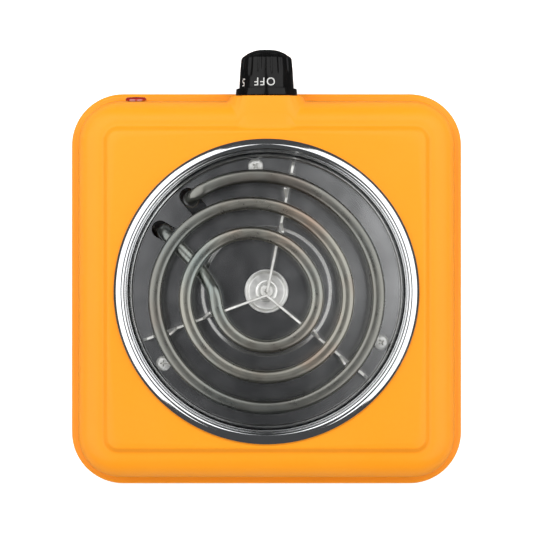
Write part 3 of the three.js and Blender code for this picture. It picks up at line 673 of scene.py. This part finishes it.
def body_columns():
    """Places round the body's outline as (base x, base y, out x, out y)."""
    plain = np.linspace(-CORNER_CENTRE, CORNER_CENTRE, 25)
    near, far = BOSS_EDGE_X
    beside = np.linspace(-CORNER_CENTRE, -far, 8)[:-1]
    edge = np.linspace(-far, -near, 31)
    between = np.linspace(-near, near, 13)[1:-1]
    front = np.concatenate([beside, edge, between, -edge[::-1], -beside[::-1]])
    columns = []
    for quarter, (out_x, out_y) in enumerate([(1, 0), (0, 1), (-1, 0), (0, -1)]):
        for place in front if out_y == -1 else plain:
            x = CORNER_CENTRE * out_x - place * out_y
            y = CORNER_CENTRE * out_y + place * out_x
            columns.append((x, y, out_x, out_y))
        for step in range(1, 20):
            x, y = polar(1, 90 * (quarter + step / 20))
            corner = (CORNER_CENTRE * (out_x - out_y), CORNER_CENTRE * (out_y + out_x))
            columns.append((*corner, x, y))
    return np.array(columns)


def body_rows():
    """The body's outside as (half width, height), from the skirt up to the plateau's edge."""
    rows = fillet([
        (BODY_HALF, SKIRT_Z), (BODY_HALF, FLANGE_Z, 2.0),
        (CREASE_HALF, FLANGE_Z + 0.2, 0.7), (WALL_TOP_HALF, WALL_TOP_Z),
    ], 6)
    foot, top = rows[-2], rows.pop()
    for share in np.concatenate([np.linspace(0.03, 0.3, 9), np.linspace(0.36, 1, 9)]):
        rows.append(foot + (top - foot) * share)
    reach = WALL_TOP_HALF - STEP_OUTER - 1.4
    turns = np.concatenate([np.arange(4, 46, 4), np.arange(47, 80, 1.5), np.arange(82, 91, 4)])
    rise = SHOULDER_Z - WALL_TOP_Z
    for x, z in zip(*polar(1, turns)):
        rows.append(np.array([WALL_TOP_HALF - reach * (1 - x), WALL_TOP_Z + rise * z]))
    for share in np.linspace(0, 1, 13):
        half = STEP_OUTER + (STEP_INNER - STEP_OUTER) * share
        height = (PLATEAU_Z - SHOULDER_Z) * ((share + smooth(share)) / 2)
        rows.append(np.array([half, SHOULDER_Z + height]))
    return rows


def shell_skin():
    columns = body_columns()
    rings = []
    for half, z in body_rows():
        reach = np.full(len(columns), half)
        for i, (x, _, _, out_y) in enumerate(columns):
            if out_y == -1 and z > FLANGE_Z - 2:
                reach[i] = with_boss(x, z, half)
        places = columns[:, :2] + columns[:, 2:] * (reach - CORNER_CENTRE)[:, None]
        rings.append(lifted(places, z))
    edge = rings[-1]
    hole_centre = np.array([BURNER[0], BURNER[1] - BODY_Y])
    spokes = edge[:, :2] - hole_centre
    hole = hole_centre + WELL_HOLE * spokes / np.linalg.norm(spokes, axis=1)[:, None]
    for share in (0.15, 0.35, 0.55, 0.75, 0.9, 1):
        rings.append(lifted(edge[:, :2] * (1 - share) + hole * share, PLATEAU_Z))
    throat = hole_centre + (hole - hole_centre) * WELL_HOLE_TAPER
    rings.append(lifted(throat, PLATEAU_Z - WELL_HOLE_DROP))
    vertices, faces = skin(rings)
    return vertices + (0, BODY_Y, 0), faces


def shell_lip():
    """The flat inner lip that the base plate is screwed to."""
    low = BASE_HIGH + GAP
    columns = body_columns()
    outer = columns[:, :2] + columns[:, 2:] * (BODY_HALF - SHEET - CORNER_CENTRE)
    inner = outer * LIP_INNER_SHARE
    high = low + SHEET
    rings = [lifted(outer, low), lifted(outer, high), lifted(inner, high), lifted(inner, low)]
    vertices, faces = skin(rings, joined=True)
    return vertices + (0, BODY_Y, 0), faces


def lamp_place():
    """Where the lamp's axis meets the sloping front wall, and the tilt of that axis."""
    low, high = corners("lamp_lens")
    draft = math.atan2(CREASE_HALF - WALL_TOP_HALF, WALL_TOP_Z - FLANGE_Z)
    x = (low[0] + high[0]) / 2
    y = low[1] + LENS_PROUD * math.cos(draft)
    z = FLANGE_Z + (CREASE_HALF - BODY_Y + y) / math.tan(draft)
    return (x, y, z), 90 - math.degrees(draft)


def make_shell():
    shell = mesh_object("body_shell", [shell_skin()])
    face_outwards(shell)
    thicken = shell.modifiers.new("sheet", "SOLIDIFY")
    thicken.thickness = SHEET * MM
    thicken.offset = -1
    thicken.use_even_offset = True
    bake(shell)
    (x, y, z), tilt = lamp_place()
    lamp, collar = (
        closed([lifted(round_hole(radius), height) for height in (-HOLE_CUT, HOLE_CUT)])
        for radius in (LAMP_HOLE, COLLAR_HOLE)
    )
    cutters = [moved(lamp, x, y, z, tilt=tilt), moved(collar, 0, BOSS_FACE_Y, KNOB_Z, tilt=90)]
    cut_away(shell, cutters)
    join_shape(shell, shell_lip())
    settle(shell, FINISHES["paint"], ["upper_shell"], sharp=38)


def face_outwards(piece):
    """Turns an open skin so that its faces look away from the body's inside."""
    with editing(piece.data) as work:
        top = max(work.faces, key=lambda face: face.calc_center_median().z)
        if top.normal.z < 0:
            bmesh.ops.reverse_faces(work, faces=work.faces)


def join_shape(piece, shape):
    extra = mesh_object("extra", [shape])
    with editing(piece.data) as work:
        work.from_mesh(extra.data)
    bpy.data.objects.remove(extra)


def flat_plate(name, outlines, low, high, soft):
    """A plate with softened edges from closed outlines; the inner ones are its holes."""
    curve = bpy.data.curves.new(name, "CURVE")
    curve.dimensions = "2D"
    curve.fill_mode = "BOTH"
    curve.extrude = ((high - low) / 2 - soft) * MM
    curve.bevel_depth = soft * MM
    curve.bevel_resolution = 2
    curve.offset = -soft * MM
    for outline in outlines:
        spline = curve.splines.new("POLY")
        spline.points.add(len(outline) - 1)
        for point, (x, y) in zip(spline.points, outline):
            point.co = (x * MM, y * MM, 0, 1)
        spline.use_cyclic_u = True
    plate = add_object(name, curve)
    data = mesh_of(plate)
    data.transform(Matrix.Translation((0, 0, (low + high) / 2 * MM)))
    bpy.data.objects.remove(plate)
    with editing(data) as work:
        bmesh.ops.remove_doubles(work, verts=work.verts, dist=MERGE)
    return add_object(name, data)


def foot_places():
    return [middle(f"foot_{i}")[:2] for i in (1, 2, 3, 4)]


def make_base():
    low, high = corners("base_plate")
    half = (high[0] - low[0]) / 2
    outlines = [rounded_rectangle(half, half, half - CORNER_CENTRE, 16) + (0, BODY_Y)]
    vent = rounded_rectangle(VENT_HALF_LENGTH, VENT_HALF_WIDTH, VENT_HALF_WIDTH - 0.01, 8)
    for row in range(VENTS):
        outlines.append(vent + (0, BODY_Y + VENT_START + VENT_PITCH * row))
    for place in foot_places():
        outlines.append(round_hole(FOOT_HOLE) + place)
    outlines.append(round_hole(GLAND_HOLE, 8) + middle("cord_gland")[:2])
    outlines.append(round_hole(EARTH_HOLE) + middle("earth_screw")[:2])
    base = flat_plate("bottom_cover", outlines, BASE_LOW, BASE_HIGH, BASE_EDGE)
    settle(base, FINISHES["zinc_steel"], ["base_plate"])


def make_feet():
    low, high = corners("foot_1")
    radius = (high[0] - low[0]) / 2
    profile = fillet([
        (FOOT_BORE, high[2]), (FOOT_BORE, FOOT_SEAT), (FOOT_POCKET, FOOT_SEAT, 0.3),
        (FOOT_POCKET, 0, 0.5), (radius - 0.9, 0, 0.9), (radius - 0.35, 4.2, 0.5),
        (radius - 0.35, 5.4, 0.5), (radius, high[2], 0.4), (FOOT_BORE, high[2]),
    ], 4)
    head = FOOT_SCREW_HEAD
    screw = fillet([
        (0, head), (2.6, head, 0.4), (3.6, head + 1, 0.3), (3.6, 4.7), (1.9, 4.7),
        (1.9, 15.4), (0, 16.2),
    ], 3)
    foot = turned(profile, 48, joined=True)
    fastener = turned(screw, 32)
    cross = cross_cutters(head, 1.6, pointing=-1)
    for i, (x, y) in enumerate(foot_places(), 1):
        stand_in(f"rubber_foot_{i}", [moved(foot, x, y)], f"foot_{i}")
        cutters = [moved(shape, x, y, turn=40 * i - 15) for shape in cross]
        stand_in(f"foot_fastener_{i}", [moved(fastener, x, y)], f"foot_screw_{i}", cutters)


def cross_cutters(top, width, pointing=1):
    """Two crossed wedges that cut a recess into a screw head whose crown is at that height."""
    low = lifted(rounded_rectangle(width * 0.45, 0.22, 0.2, 2), top - pointing * 1.5)
    high = lifted(rounded_rectangle(width * 1.25, 0.5, 0.3, 2), top + pointing * 0.6)
    return [moved(closed([low, high]), turn=turn) for turn in (0, 90)]


def make_gland():
    low, high = corners("cord_gland")
    x, y, _ = middle("cord_gland")
    profile = fillet([
        (GLAND_BORE, high[2] - 1), (GLAND_BORE, low[2], 0.5), (6.8, low[2], 0.6),
        (8, low[2] + 1.2, 0.5), (8, BASE_LOW - GAP, 0.2), (6, BASE_LOW - GAP),
        (6, BASE_HIGH + GAP), (7.8, BASE_HIGH + GAP, 0.2), (7.2, high[2], 0.5),
        (GLAND_BORE, high[2], 0.5), (GLAND_BORE, high[2] - 1),
    ], 4)
    stand_in("cord_grommet", [moved(turned(profile, 48, joined=True), x, y)], "cord_gland")


# ---------- burner ----------

def make_ring():
    low = PLATEAU_Z + GAP
    under = PAN_UNDER - GAP
    profile = fillet([
        (RING_RADIUS - 1, low), (RING_RADIUS, low, 0.25),
        (RING_RADIUS, RING_TOP - 2.2, 0.9), (RING_RADIUS - 1.5, RING_TOP - 1.0, 1.6),
        (RING_RADIUS - 3.7, RING_TOP, 2.6), (RING_RADIUS - 5.2, RING_TOP - 0.45, 0.9),
        (RING_RADIUS - 5.9, RING_TOP - 1.4, 0.4), (RING_RADIUS - 6.5, RING_TOP - 1.3, 0.3),
        (WELL_WALL, PAN_TOP + 0.1, 0.8), (WELL_WALL, under, 0.3), (WELL_WALL - 2.2, under),
        (WELL_WALL - 2.2, under - 0.8), (WELL_WALL + 0.8, under - 0.8, 0.5),
        (WELL_WALL + 0.9, PAN_TOP + 0.2), (RING_RADIUS - 5.1, low + 0.1),
        (RING_RADIUS - 4, low + 0.6), (RING_RADIUS - 2.6, low), (RING_RADIUS - 1, low),
    ], 7)
    ring = moved(turned(profile, 360, joined=True), *BURNER)
    stand_in("burner_ring", [ring], "trim_ring", sharp=44)


def tube_ends():
    """Where the two cold ends of the heater go down, from the burner's axis."""
    x, y = polar(COIL_OUTER_RADIUS + COIL_FLARE, COIL_START)
    return [(px, py + COIL[1] - BURNER[1]) for px, py in ((x, y), INNER_END)]


def screw_place(number):
    return middle(f"pan_screw_{number}")[:2]


def make_pan():
    raised = PAN_TOP + PAN_RAISE
    profile = fillet([
        (0, raised), (12, raised), (22, raised), (PAN_STEP - 2.2, raised),
        (PAN_STEP - 0.9, raised, 0.7), (PAN_STEP + 0.6, PAN_TOP, 0.7),
        (PAN_STEP + 2.2, PAN_TOP), (45, PAN_TOP), (52, PAN_TOP),
        (PAN_RADIUS - 2.2, PAN_TOP), (PAN_RADIUS - 1.1, PAN_TOP, 1.0),
        (PAN_RADIUS - 0.9, PAN_TOP + 2.3, 0.15), (PAN_RADIUS, PAN_TOP + 1.85, 0.25),
        (PAN_RADIUS - 0.1, PAN_UNDER, 1.6), (PAN_STEP + 0.2, PAN_UNDER, 0.7),
        (PAN_STEP - 1.3, PAN_UNDER + PAN_RAISE, 0.7), (0, PAN_UNDER + PAN_RAISE),
    ], 5)
    cutters = []
    length, width = SLOT_HALF_LENGTH, SLOT_HALF_WIDTH
    neck = rounded_rectangle(length, width, width - 0.05, 10)
    length, width = length + SLOT_FLARE, width + SLOT_FLARE
    mouth = rounded_rectangle(length, width, width - 0.05, 10)
    start = PAN_UNDER - 1
    rings = [lifted(neck, start), lifted(neck, PAN_TOP - 0.35), lifted(mouth, PAN_TOP + 0.5)]
    slot = closed(rings)
    for x, y in tube_ends():
        turn = math.degrees(math.atan2(y, x))
        x, y = polar(SLOT_PLACE_RADIUS, turn)
        cutters.append(moved(slot, BURNER[0] + x, BURNER[1] + y, turn=turn))
    side = [(PAN_HOLE_RADIUS, start), (PAN_HOLE_RADIUS, PAN_HOLE_TOP)]
    hole = turned([(0, start), *side, (0, PAN_HOLE_TOP)], 24)
    for x, y in [*(screw_place(i) for i in (1, 2, 3)), BURNER]:
        cutters.append(moved(hole, x, y))
    stand_in("burner_pan", [moved(turned(profile, 192), *BURNER)], "drip_pan", cutters, sharp=34)


def make_pan_screws():
    seat = PAN_TOP + GAP
    crown = seat + 2.7
    profile = fillet([
        (0, seat - 8), (1.6, seat - 8, 0.3), (2, seat - 7.4), (2, seat), (4, seat, 0.15),
        (4, seat + 1.7, 1.0), (2.6, crown - 0.12, 1.0), (0, crown),
    ], 5)
    screw = turned(profile, 48)
    for i in (1, 2, 3):
        x, y = screw_place(i)
        cutters = [moved(shape, x, y, turn=20 + 35 * i) for shape in cross_cutters(crown, 1.7)]
        stand_in(f"pan_head_{i}", [moved(screw, x, y)], f"pan_screw_{i}", cutters)


def make_disc():
    low = PAN_TOP + PAN_RAISE + GAP
    profile = fillet([
        (2.2, low), (9.4, low, 0.8), (11.45, low + 1.3, 0.5), (11.6, low + 2.0, 0.3),
        (10.7, low + 2.0, 0.35), (9.3, low + 0.95, 0.8), (5.7, low + 0.75, 0.4),
        (5.1, low + 1.0, 0.2), (4.5, low + 0.75, 0.3), (2.2, low + 0.7), (2.2, low),
    ], 5)
    stand_in("spun_disc", [moved(turned(profile, 96, joined=True), *BURNER)], "centre_disc")


def make_disc_screw():
    seat = PAN_TOP + PAN_RAISE + GAP + 0.7 + GAP
    crown = seat + 1.3
    profile = fillet([
        (0, seat - 8.4), (1.9, seat - 8.4), (1.9, seat), (3.6, seat, 0.2),
        (3.3, seat + 1.2, 0.6), (0, crown),
    ], 5)
    cutters = [moved(shape, *BURNER, turn=10) for shape in cross_cutters(crown, 1.3)]
    stand_in("disc_screw", [moved(turned(profile, 40), *BURNER)], "centre_screw", cutters)


# ---------- heater ----------

def coil_radius(swept_angle):
    flare = COIL_FLARE * (1 - smooth(swept_angle / COIL_FLARE_SWEEP))
    jogs = sum(smooth((swept_angle - start) / COIL_JOG_SWEEP) for start in COIL_JOG_STARTS)
    return COIL_OUTER_RADIUS + flare - COIL_PITCH * jogs


def coil_point(swept_angle, z=COIL_Z):
    return np.array([*polar(coil_radius(swept_angle), COIL_START - swept_angle), z])


def coil_path():
    """The heater's middle line: up through one slot, round, and down through the other."""
    outer_foot = COIL_Z - OUTER_BEND
    points = [coil_point(0, z) for z in (TUBE_END_Z, (TUBE_END_Z + outer_foot) / 2)]
    arc_sweep = math.degrees(OUTER_BEND / coil_radius(0))
    for turn in (0, 30, 60):
        out, up = polar(1, turn)
        points.append(coil_point(arc_sweep * (1 - out), outer_foot + OUTER_BEND * up))
    between = np.arange(arc_sweep + COIL_STEP, COIL_SWEEP - 8, COIL_STEP)
    stations = [arc_sweep, arc_sweep + 4, *between]
    points += [coil_point(station) for station in (*stations, COIL_SWEEP - 4, COIL_SWEEP)]
    points += [np.array(place, float) for place in LEAD_POINTS]
    end = np.array([*INNER_END, LEAD_Z])
    back = np.array(LEAD_POINTS[-1]) - end
    back = unit(back * (1, 1, 0))
    for turn in (90, 60, 30, 0):
        out, up = polar(INNER_BEND, turn)
        place = end + back * (INNER_BEND - out)
        points.append(np.array([place[0], place[1], LEAD_Z - INNER_BEND + up]))
    points += [np.array([*INNER_END, z]) for z in (INNER_END_Z, TUBE_END_Z)]
    return through(points, 7) + (*COIL, 0)


def make_heater():
    """The tube, pressed flat on top wherever it lies at the height that a pan rests on."""
    path = coil_path()
    tube = TUBE_RADIUS * np.column_stack(polar(1, np.linspace(0, 360, 36, endpoint=False)))
    on_top = smooth((path[:, 2] - (COIL_Z - 1.6)) / 1.5)
    flat = np.full(len(tube), TUBE_FLAT_MARGIN - TUBE_FLAT)
    pressed = -smooth_max(-tube[:, 1], flat, TUBE_FLAT_BLEND) - tube[:, 1]
    pressed[tube[:, 1] < 0] = 0

    def section(i):
        pairs = tube.copy()
        pairs[:, 1] += pressed * on_top[i]
        return pairs

    stand_in("heater_tube", [swept(path, section)], "heating_coil", sharp=60)


def crossings(angle):
    """Radii at which the heater's turns cross an arm, from the inside out."""
    sweep = (COIL_START - angle) % 360
    found = []
    while sweep < COIL_SWEEP:
        found.append(coil_radius(sweep))
        sweep += 360
    return sorted(found)


def arm_shape(angle, start, lean):
    """One arm of strip on edge, with a twisted tab on each side of the turns that it holds."""
    reach = ARM_REACH - (COIL[1] - BURNER[1]) * math.sin(math.radians(angle))
    on_pan = PAN_TOP + PAN_RAISE + GAP
    beside = TUBE_RADIUS + GAP
    turns = crossings(angle)
    stations = [
        (start, on_pan + 2.4, ARM_TOP_Z - 3.5, 0),
        (16, on_pan + 2.4, ARM_TOP_Z - 2.55, 0),
        (17, on_pan, ARM_TOP_Z - 2.5, 0),
    ]
    for place in (turns[0], turns[-1]):
        for side, twist in ((-1, lean), (1, -lean)):
            tab = []
            for along in (0, 0.1, 0.9, TAB_LENGTH):
                up, shift = (TAB_RISE, twist) if 0 < along < 1 else (0, 0)
                tab.append((place + side * (beside + along), on_pan, ARM_TOP_Z + up, shift))
            if side < 0:
                tab = tab[::-1] if place > turns[0] else tab[:1]
            stations += tab
    stations = [station for station in stations if station[0] < reach - 6.2]
    stations += [
        (reach - 6, on_pan, ARM_TOP_Z, 0), (reach - 5.5, PAN_TOP + GAP, ARM_TOP_Z, 0),
        (reach - 2.5, PAN_TOP + GAP, ARM_TOP_Z, 0), (reach, PAN_TOP + GAP, PAN_TOP + 5, 0),
    ]
    half, soft = ARM_THICKNESS / 2, ARM_EDGE
    rings = []
    for radius, low, high, shift in stations:
        crease = min(high, ARM_TOP_Z) - 2.2
        outline = [
            (-half + soft, low), (half - soft, low), (half, low + soft), (half, crease),
            (half + shift, high - soft), (half + shift - soft, high),
            (-half + shift + soft, high), (-half + shift, high - soft),
            (-half, crease), (-half, low + soft),
        ]
        rings.append([(radius, *point) for point in outline])
    return moved(closed(rings), *COIL, turn=angle)


def make_supports():
    *vee, third = (arm_shape(*settings) for settings in zip(ARM_ANGLES, ARM_STARTS, TAB_LEANS))
    stand_in("support_vee", vee, "coil_support_v", sharp=18)
    stand_in("support_third", [third], "coil_support_arm", sharp=18)


# ---------- control ----------

def to_control(vertices):
    """From the control's own frame, z to the front and y up, into the object's frame."""
    x, y, z = vertices.T
    return np.column_stack([x, BOSS_FACE_Y - z, y + KNOB_Z])


def grip_radius(height):
    return GRIP_RADIUS - GRIP_TAPER * (height - GRIP_START) / GRIP_TAPER_LENGTH


def knob_profile():
    """(radius, height) from the tip down the outside, then up inside to the spindle bore."""
    outside = fillet([
        (0, KNOB_TIP), (6.6, KNOB_TIP - 0.55, 12), (10.7, KNOB_TIP - 2.6, 1.0),
        (10.9, KNOB_TIP - 3.2, 0.15), (11.2, KNOB_TIP - 3.1, 0.15),
        (grip_radius(GRIP_END) - 0.2, KNOB_TIP - 4.4, 2.4), (grip_radius(15), 15),
    ], 6)
    for height in np.linspace(14.5, GRIP_START + 0.5, 22):
        outside.append(np.array([grip_radius(height), height]))
    inside = fillet([
        (grip_radius(GRIP_START) - 0.02, GRIP_START + 0.45), (GRIP_RADIUS, GRIP_START, 0.3),
        (16.05, GRIP_START, 0.35), (16.4, KNOB_STAND_OFF, 0.3),
        (KNOB_HOLLOW, KNOB_STAND_OFF, 0.3), (KNOB_HOLLOW, KNOB_HOLLOW_END, 0.5),
        (5.2, KNOB_HOLLOW_END, 0.5), (5.2, 3.8, 0.3), (SPINDLE_BORE, 3.8),
        (SPINDLE_BORE, SPINDLE_BORE_END), (0, SPINDLE_BORE_END),
    ], 4)
    return outside + inside


def flute_share(height):
    """How deep the flutes are at a height: full at the front and run out towards the dial."""
    return smooth((height - 9.5) / 6.5)


def make_knob():
    """The knob with its flutes outside and the flat of its spindle bore inside."""
    count = FLUTES * FLUTE_SEGMENTS
    angles = np.radians(np.linspace(0, 360, count, endpoint=False))
    wave = np.clip(np.cos(angles * FLUTES - 2 * math.pi * FLUTE_PHASE), -1, 1)
    groove = smooth((wave + 0.15) / 1.15)
    rings = []
    for radius, height in knob_profile():
        radii = np.full(count, float(radius))
        if radius > KNOB_HOLLOW:
            outer = smooth((radius - KNOB_HOLLOW) / 1.2)
            radii -= FLUTE_DEPTH * flute_share(height) * groove * outer
        if radius == SPINDLE_BORE:
            upward = np.maximum(np.sin(angles), 1e-6)
            radii = np.minimum(radii, SPINDLE_FLAT / upward)
        flat = np.column_stack([radii * np.cos(angles), radii * np.sin(angles)])
        rings.append(lifted(flat, height))
    vertices, faces = skin(rings)
    stand_in("dial_knob", [(to_control(vertices), faces)], "knob", body="control", sharp=38)


def label_mesh(text):
    """A flat text as a bmesh, in millimetres and centred, cut finely enough to be wrapped."""
    curve = bpy.data.curves.new("label", "FONT")
    curve.body = text
    curve.size = LABEL_HEIGHT / CAPITAL_SHARE
    curve.align_x = "CENTER"
    curve.space_character = 1.2
    curve.offset = 0.02
    source = add_object("label", curve)
    data = mesh_of(source)
    bpy.data.objects.remove(source)
    work = bmesh.new()
    work.from_mesh(data)
    bmesh.ops.remove_doubles(work, verts=work.verts, dist=0.001)
    heights = [vertex.co.y for vertex in work.verts]
    middle_y = (max(heights) + min(heights)) / 2
    bmesh.ops.translate(work, verts=work.verts, vec=(0, -middle_y, 0))
    for x in np.arange(-LABEL_REACH, LABEL_REACH + 0.01, LABEL_CUT):
        parts = work.verts[:] + work.edges[:] + work.faces[:]
        bmesh.ops.bisect_plane(work, geom=parts, plane_co=(x, 0, 0), plane_no=(1, 0, 0))
    return work


def make_lettering():
    """The dial's labels as thin raised ink, wrapped round the grip."""
    vertices, faces = [], []
    for text, direction in DIAL_LABELS.items():
        work = label_mesh(text)
        base = len(vertices)
        count = len(work.verts)
        work.verts.index_update()
        for lift in (0.0, INK):
            for vertex in work.verts:
                height = LABEL_MIDDLE - vertex.co.y
                radius = grip_radius(height) - INK_SINK + lift
                angle = math.radians(direction) + vertex.co.x / GRIP_RADIUS
                vertices.append((radius * math.sin(angle), radius * math.cos(angle), height))
        for face in work.faces:
            loop = [base + vertex.index for vertex in face.verts]
            faces.append(tuple(loop))
            faces.append(tuple(count + i for i in reversed(loop)))
        for edge in work.edges:
            if len(edge.link_faces) == 1:
                a, b = (base + vertex.index for vertex in edge.verts)
                faces.append((a, b, count + b, count + a))
        work.free()
    piece = mesh_object("dial_lettering", [(to_control(np.array(vertices)), faces)])
    settle(piece, DIAL_PRINT, [], body="control", sharp=40)


def make_lens():
    (x, y, z), tilt = lamp_place()
    profile = fillet([
        (LENS_BORE, LENS_BACK), (LENS_NECK, LENS_BACK), (LENS_NECK, GAP),
        (LENS_RADIUS, GAP, 0.1), (LENS_RADIUS, LENS_PROUD - 1.2, 0.5),
        (4.6, LENS_PROUD - 0.25, 1.0), (0, LENS_PROUD),
    ], 5)
    inside = [(0, LENS_PROUD - 1.4), (LENS_BORE, LENS_PROUD - 1.7), (LENS_BORE, LENS_BACK)]
    shape = turned(profile + inside, 64)
    stand_in("pilot_lens", [moved(shape, x, y, z, tilt=tilt)], "lamp_lens")


# ---------- inside ----------

def lead_routes():
    """Points along each lead, from one of its ends to the other."""
    block_x, block_y, _ = middle("terminal_block")
    first, second = [(x, y + BURNER[1]) for x, y in tube_ends()]
    pin_z = TUBE_END_Z - TERMINAL_DROP
    behind = BOSS_FACE_Y + 26.1 + 4
    stack_x = 24
    (lamp_x, lamp_y, lamp_z), _ = lamp_place()
    lamp_back = lamp_y + 18
    return {
        "lead_live": [
            (block_x - 6, block_y - 10, 18), (block_x - 18, block_y - 36, 19),
            (-52, -20, 21), (-34, -54, 27), (stack_x - 18, behind, KNOB_Z - 6),
        ],
        "lead_switched": [
            (stack_x + 10, behind - 2, KNOB_Z - 6),
            (stack_x + 16, behind + 10, 29), (first[0] + 1, first[1] - 9, 25),
            (*first, pin_z),
        ],
        "lead_return": [
            (*second, pin_z), (second[0] - 4, second[1] + 22, 22),
            (32, 40, 19), (0, 62, 18), (block_x + 14, block_y + 2, 18),
        ],
        "lead_lamp": [
            (lamp_x, lamp_back, lamp_z - 2), (lamp_x - 6, lamp_back + 14, 28),
            (second[0] + 9, second[1] - 6, 23),
            (second[0] + 3.4, second[1] + 2, pin_z),
        ],
    }


def make_leads():
    outline = SLEEVE_RADIUS * circle(12)
    for node, route in lead_routes().items():
        sleeve = swept(through(route, 16), lambda i: outline)
        stand_in(node.replace("lead", "sleeve"), [sleeve], node)


def finish_hidden_nodes():
    """The nodes that nothing stands in for keep their CAD shape and get their slot's material."""
    for node, item in frame["nodes"].items():
        if item.hide_render:
            continue
        item.data.materials.clear()
        item.data.materials.append(FINISHES[NODE_SLOTS[node]])


# ---------- studio ----------

def make_camera():
    data = bpy.data.cameras.new("camera")
    data.lens = 144.15
    data.sensor_width = 36
    data.clip_start = 0.05
    data.clip_end = 20
    camera = add_object("camera", data)
    camera.location = (0, -0.001, 1.172)
    camera.rotation_euler = (0, 0, math.pi)
    bpy.context.scene.camera = camera


def make_softbox(name, place, size=(1.25, 0.80), power=4.7):
    data = bpy.data.lights.new(name, "AREA")
    data.shape = "RECTANGLE"
    data.size, data.size_y = size
    data.energy = power
    light = add_object(name, data)
    light.location = place
    light.rotation_euler = (SOFTBOX_AIM - Vector(place)).to_track_quat("-Z", "Y").to_euler()
    return light


def make_floor():
    """A pale floor that glows a little beside the object, and that shiny parts don't mirror."""
    data = bpy.data.meshes.new("studio_floor")
    signs = [(-1, -1), (1, -1), (1, 1), (-1, 1)]
    places = [(FLOOR_REACH * x, FLOOR_REACH * y, 0) for x, y in signs]
    data.from_pydata(places, [], [(0, 1, 2, 3)])
    floor = add_object("studio_floor", data)
    floor.location = (0, 0, -FLOOR_DROP)
    floor.visible_glossy = False
    finish = Finish("pale_floor", (0.92, 0.92, 0.92), 0.8)
    finish.mottle(3, (0.90, 0.90, 0.90), 2)
    radius = finish.radius_from((0, 0))
    glow = finish.spread(radius, 0, FLOOR_GLOW, *FLOOR_GLOW_START)
    finish.set("Emission Color", (1, 1, 1, 1))
    finish.link(glow, finish.shader.inputs["Emission Strength"])
    data.materials.append(finish.done())


def make_world():
    """Pale for the camera, and a dim grey for everything that the lights don't reach."""
    world = bpy.data.worlds.new("studio")
    world.use_nodes = True
    tree = world.node_tree
    dim = tree.nodes["Background"]
    dim.inputs["Color"].default_value = (0.95, 0.97, 1, 1)
    dim.inputs["Strength"].default_value = 0.07
    pale = tree.nodes.new("ShaderNodeBackground")
    pale.inputs["Color"].default_value = (1, 1, 1, 1)
    path = tree.nodes.new("ShaderNodeLightPath")
    mixed = tree.nodes.new("ShaderNodeMixShader")
    tree.links.new(path.outputs["Is Camera Ray"], mixed.inputs["Fac"])
    tree.links.new(dim.outputs["Background"], mixed.inputs[1])
    tree.links.new(pale.outputs["Background"], mixed.inputs[2])
    tree.links.new(mixed.outputs["Shader"], tree.nodes["World Output"].inputs["Surface"])
    bpy.context.scene.world = world


def make_studio():
    make_floor()
    make_softbox("left_softbox", (0.42, -0.08, 0.50))
    make_softbox("right_softbox", (-0.42, -0.08, 0.50))
    front_fill = make_softbox("front_fill", (0, -0.45, 0.75), (0.8, 0.3), 2.6)
    rear_fill = make_softbox("rear_fill", (0, 0.90, 0.25), (1.2, 0.3), 1.9)
    front_fill.visible_glossy = rear_fill.visible_glossy = False
    make_world()
    bpy.context.scene.view_settings.view_transform = "Standard"


make_camera()
make_studio()
make_shell()
make_base()
make_feet()
make_gland()
make_ring()
make_pan()
make_pan_screws()
make_disc()
make_disc_screw()
make_heater()
make_supports()
make_knob()
make_lettering()
make_lens()
make_leads()
finish_hidden_nodes()
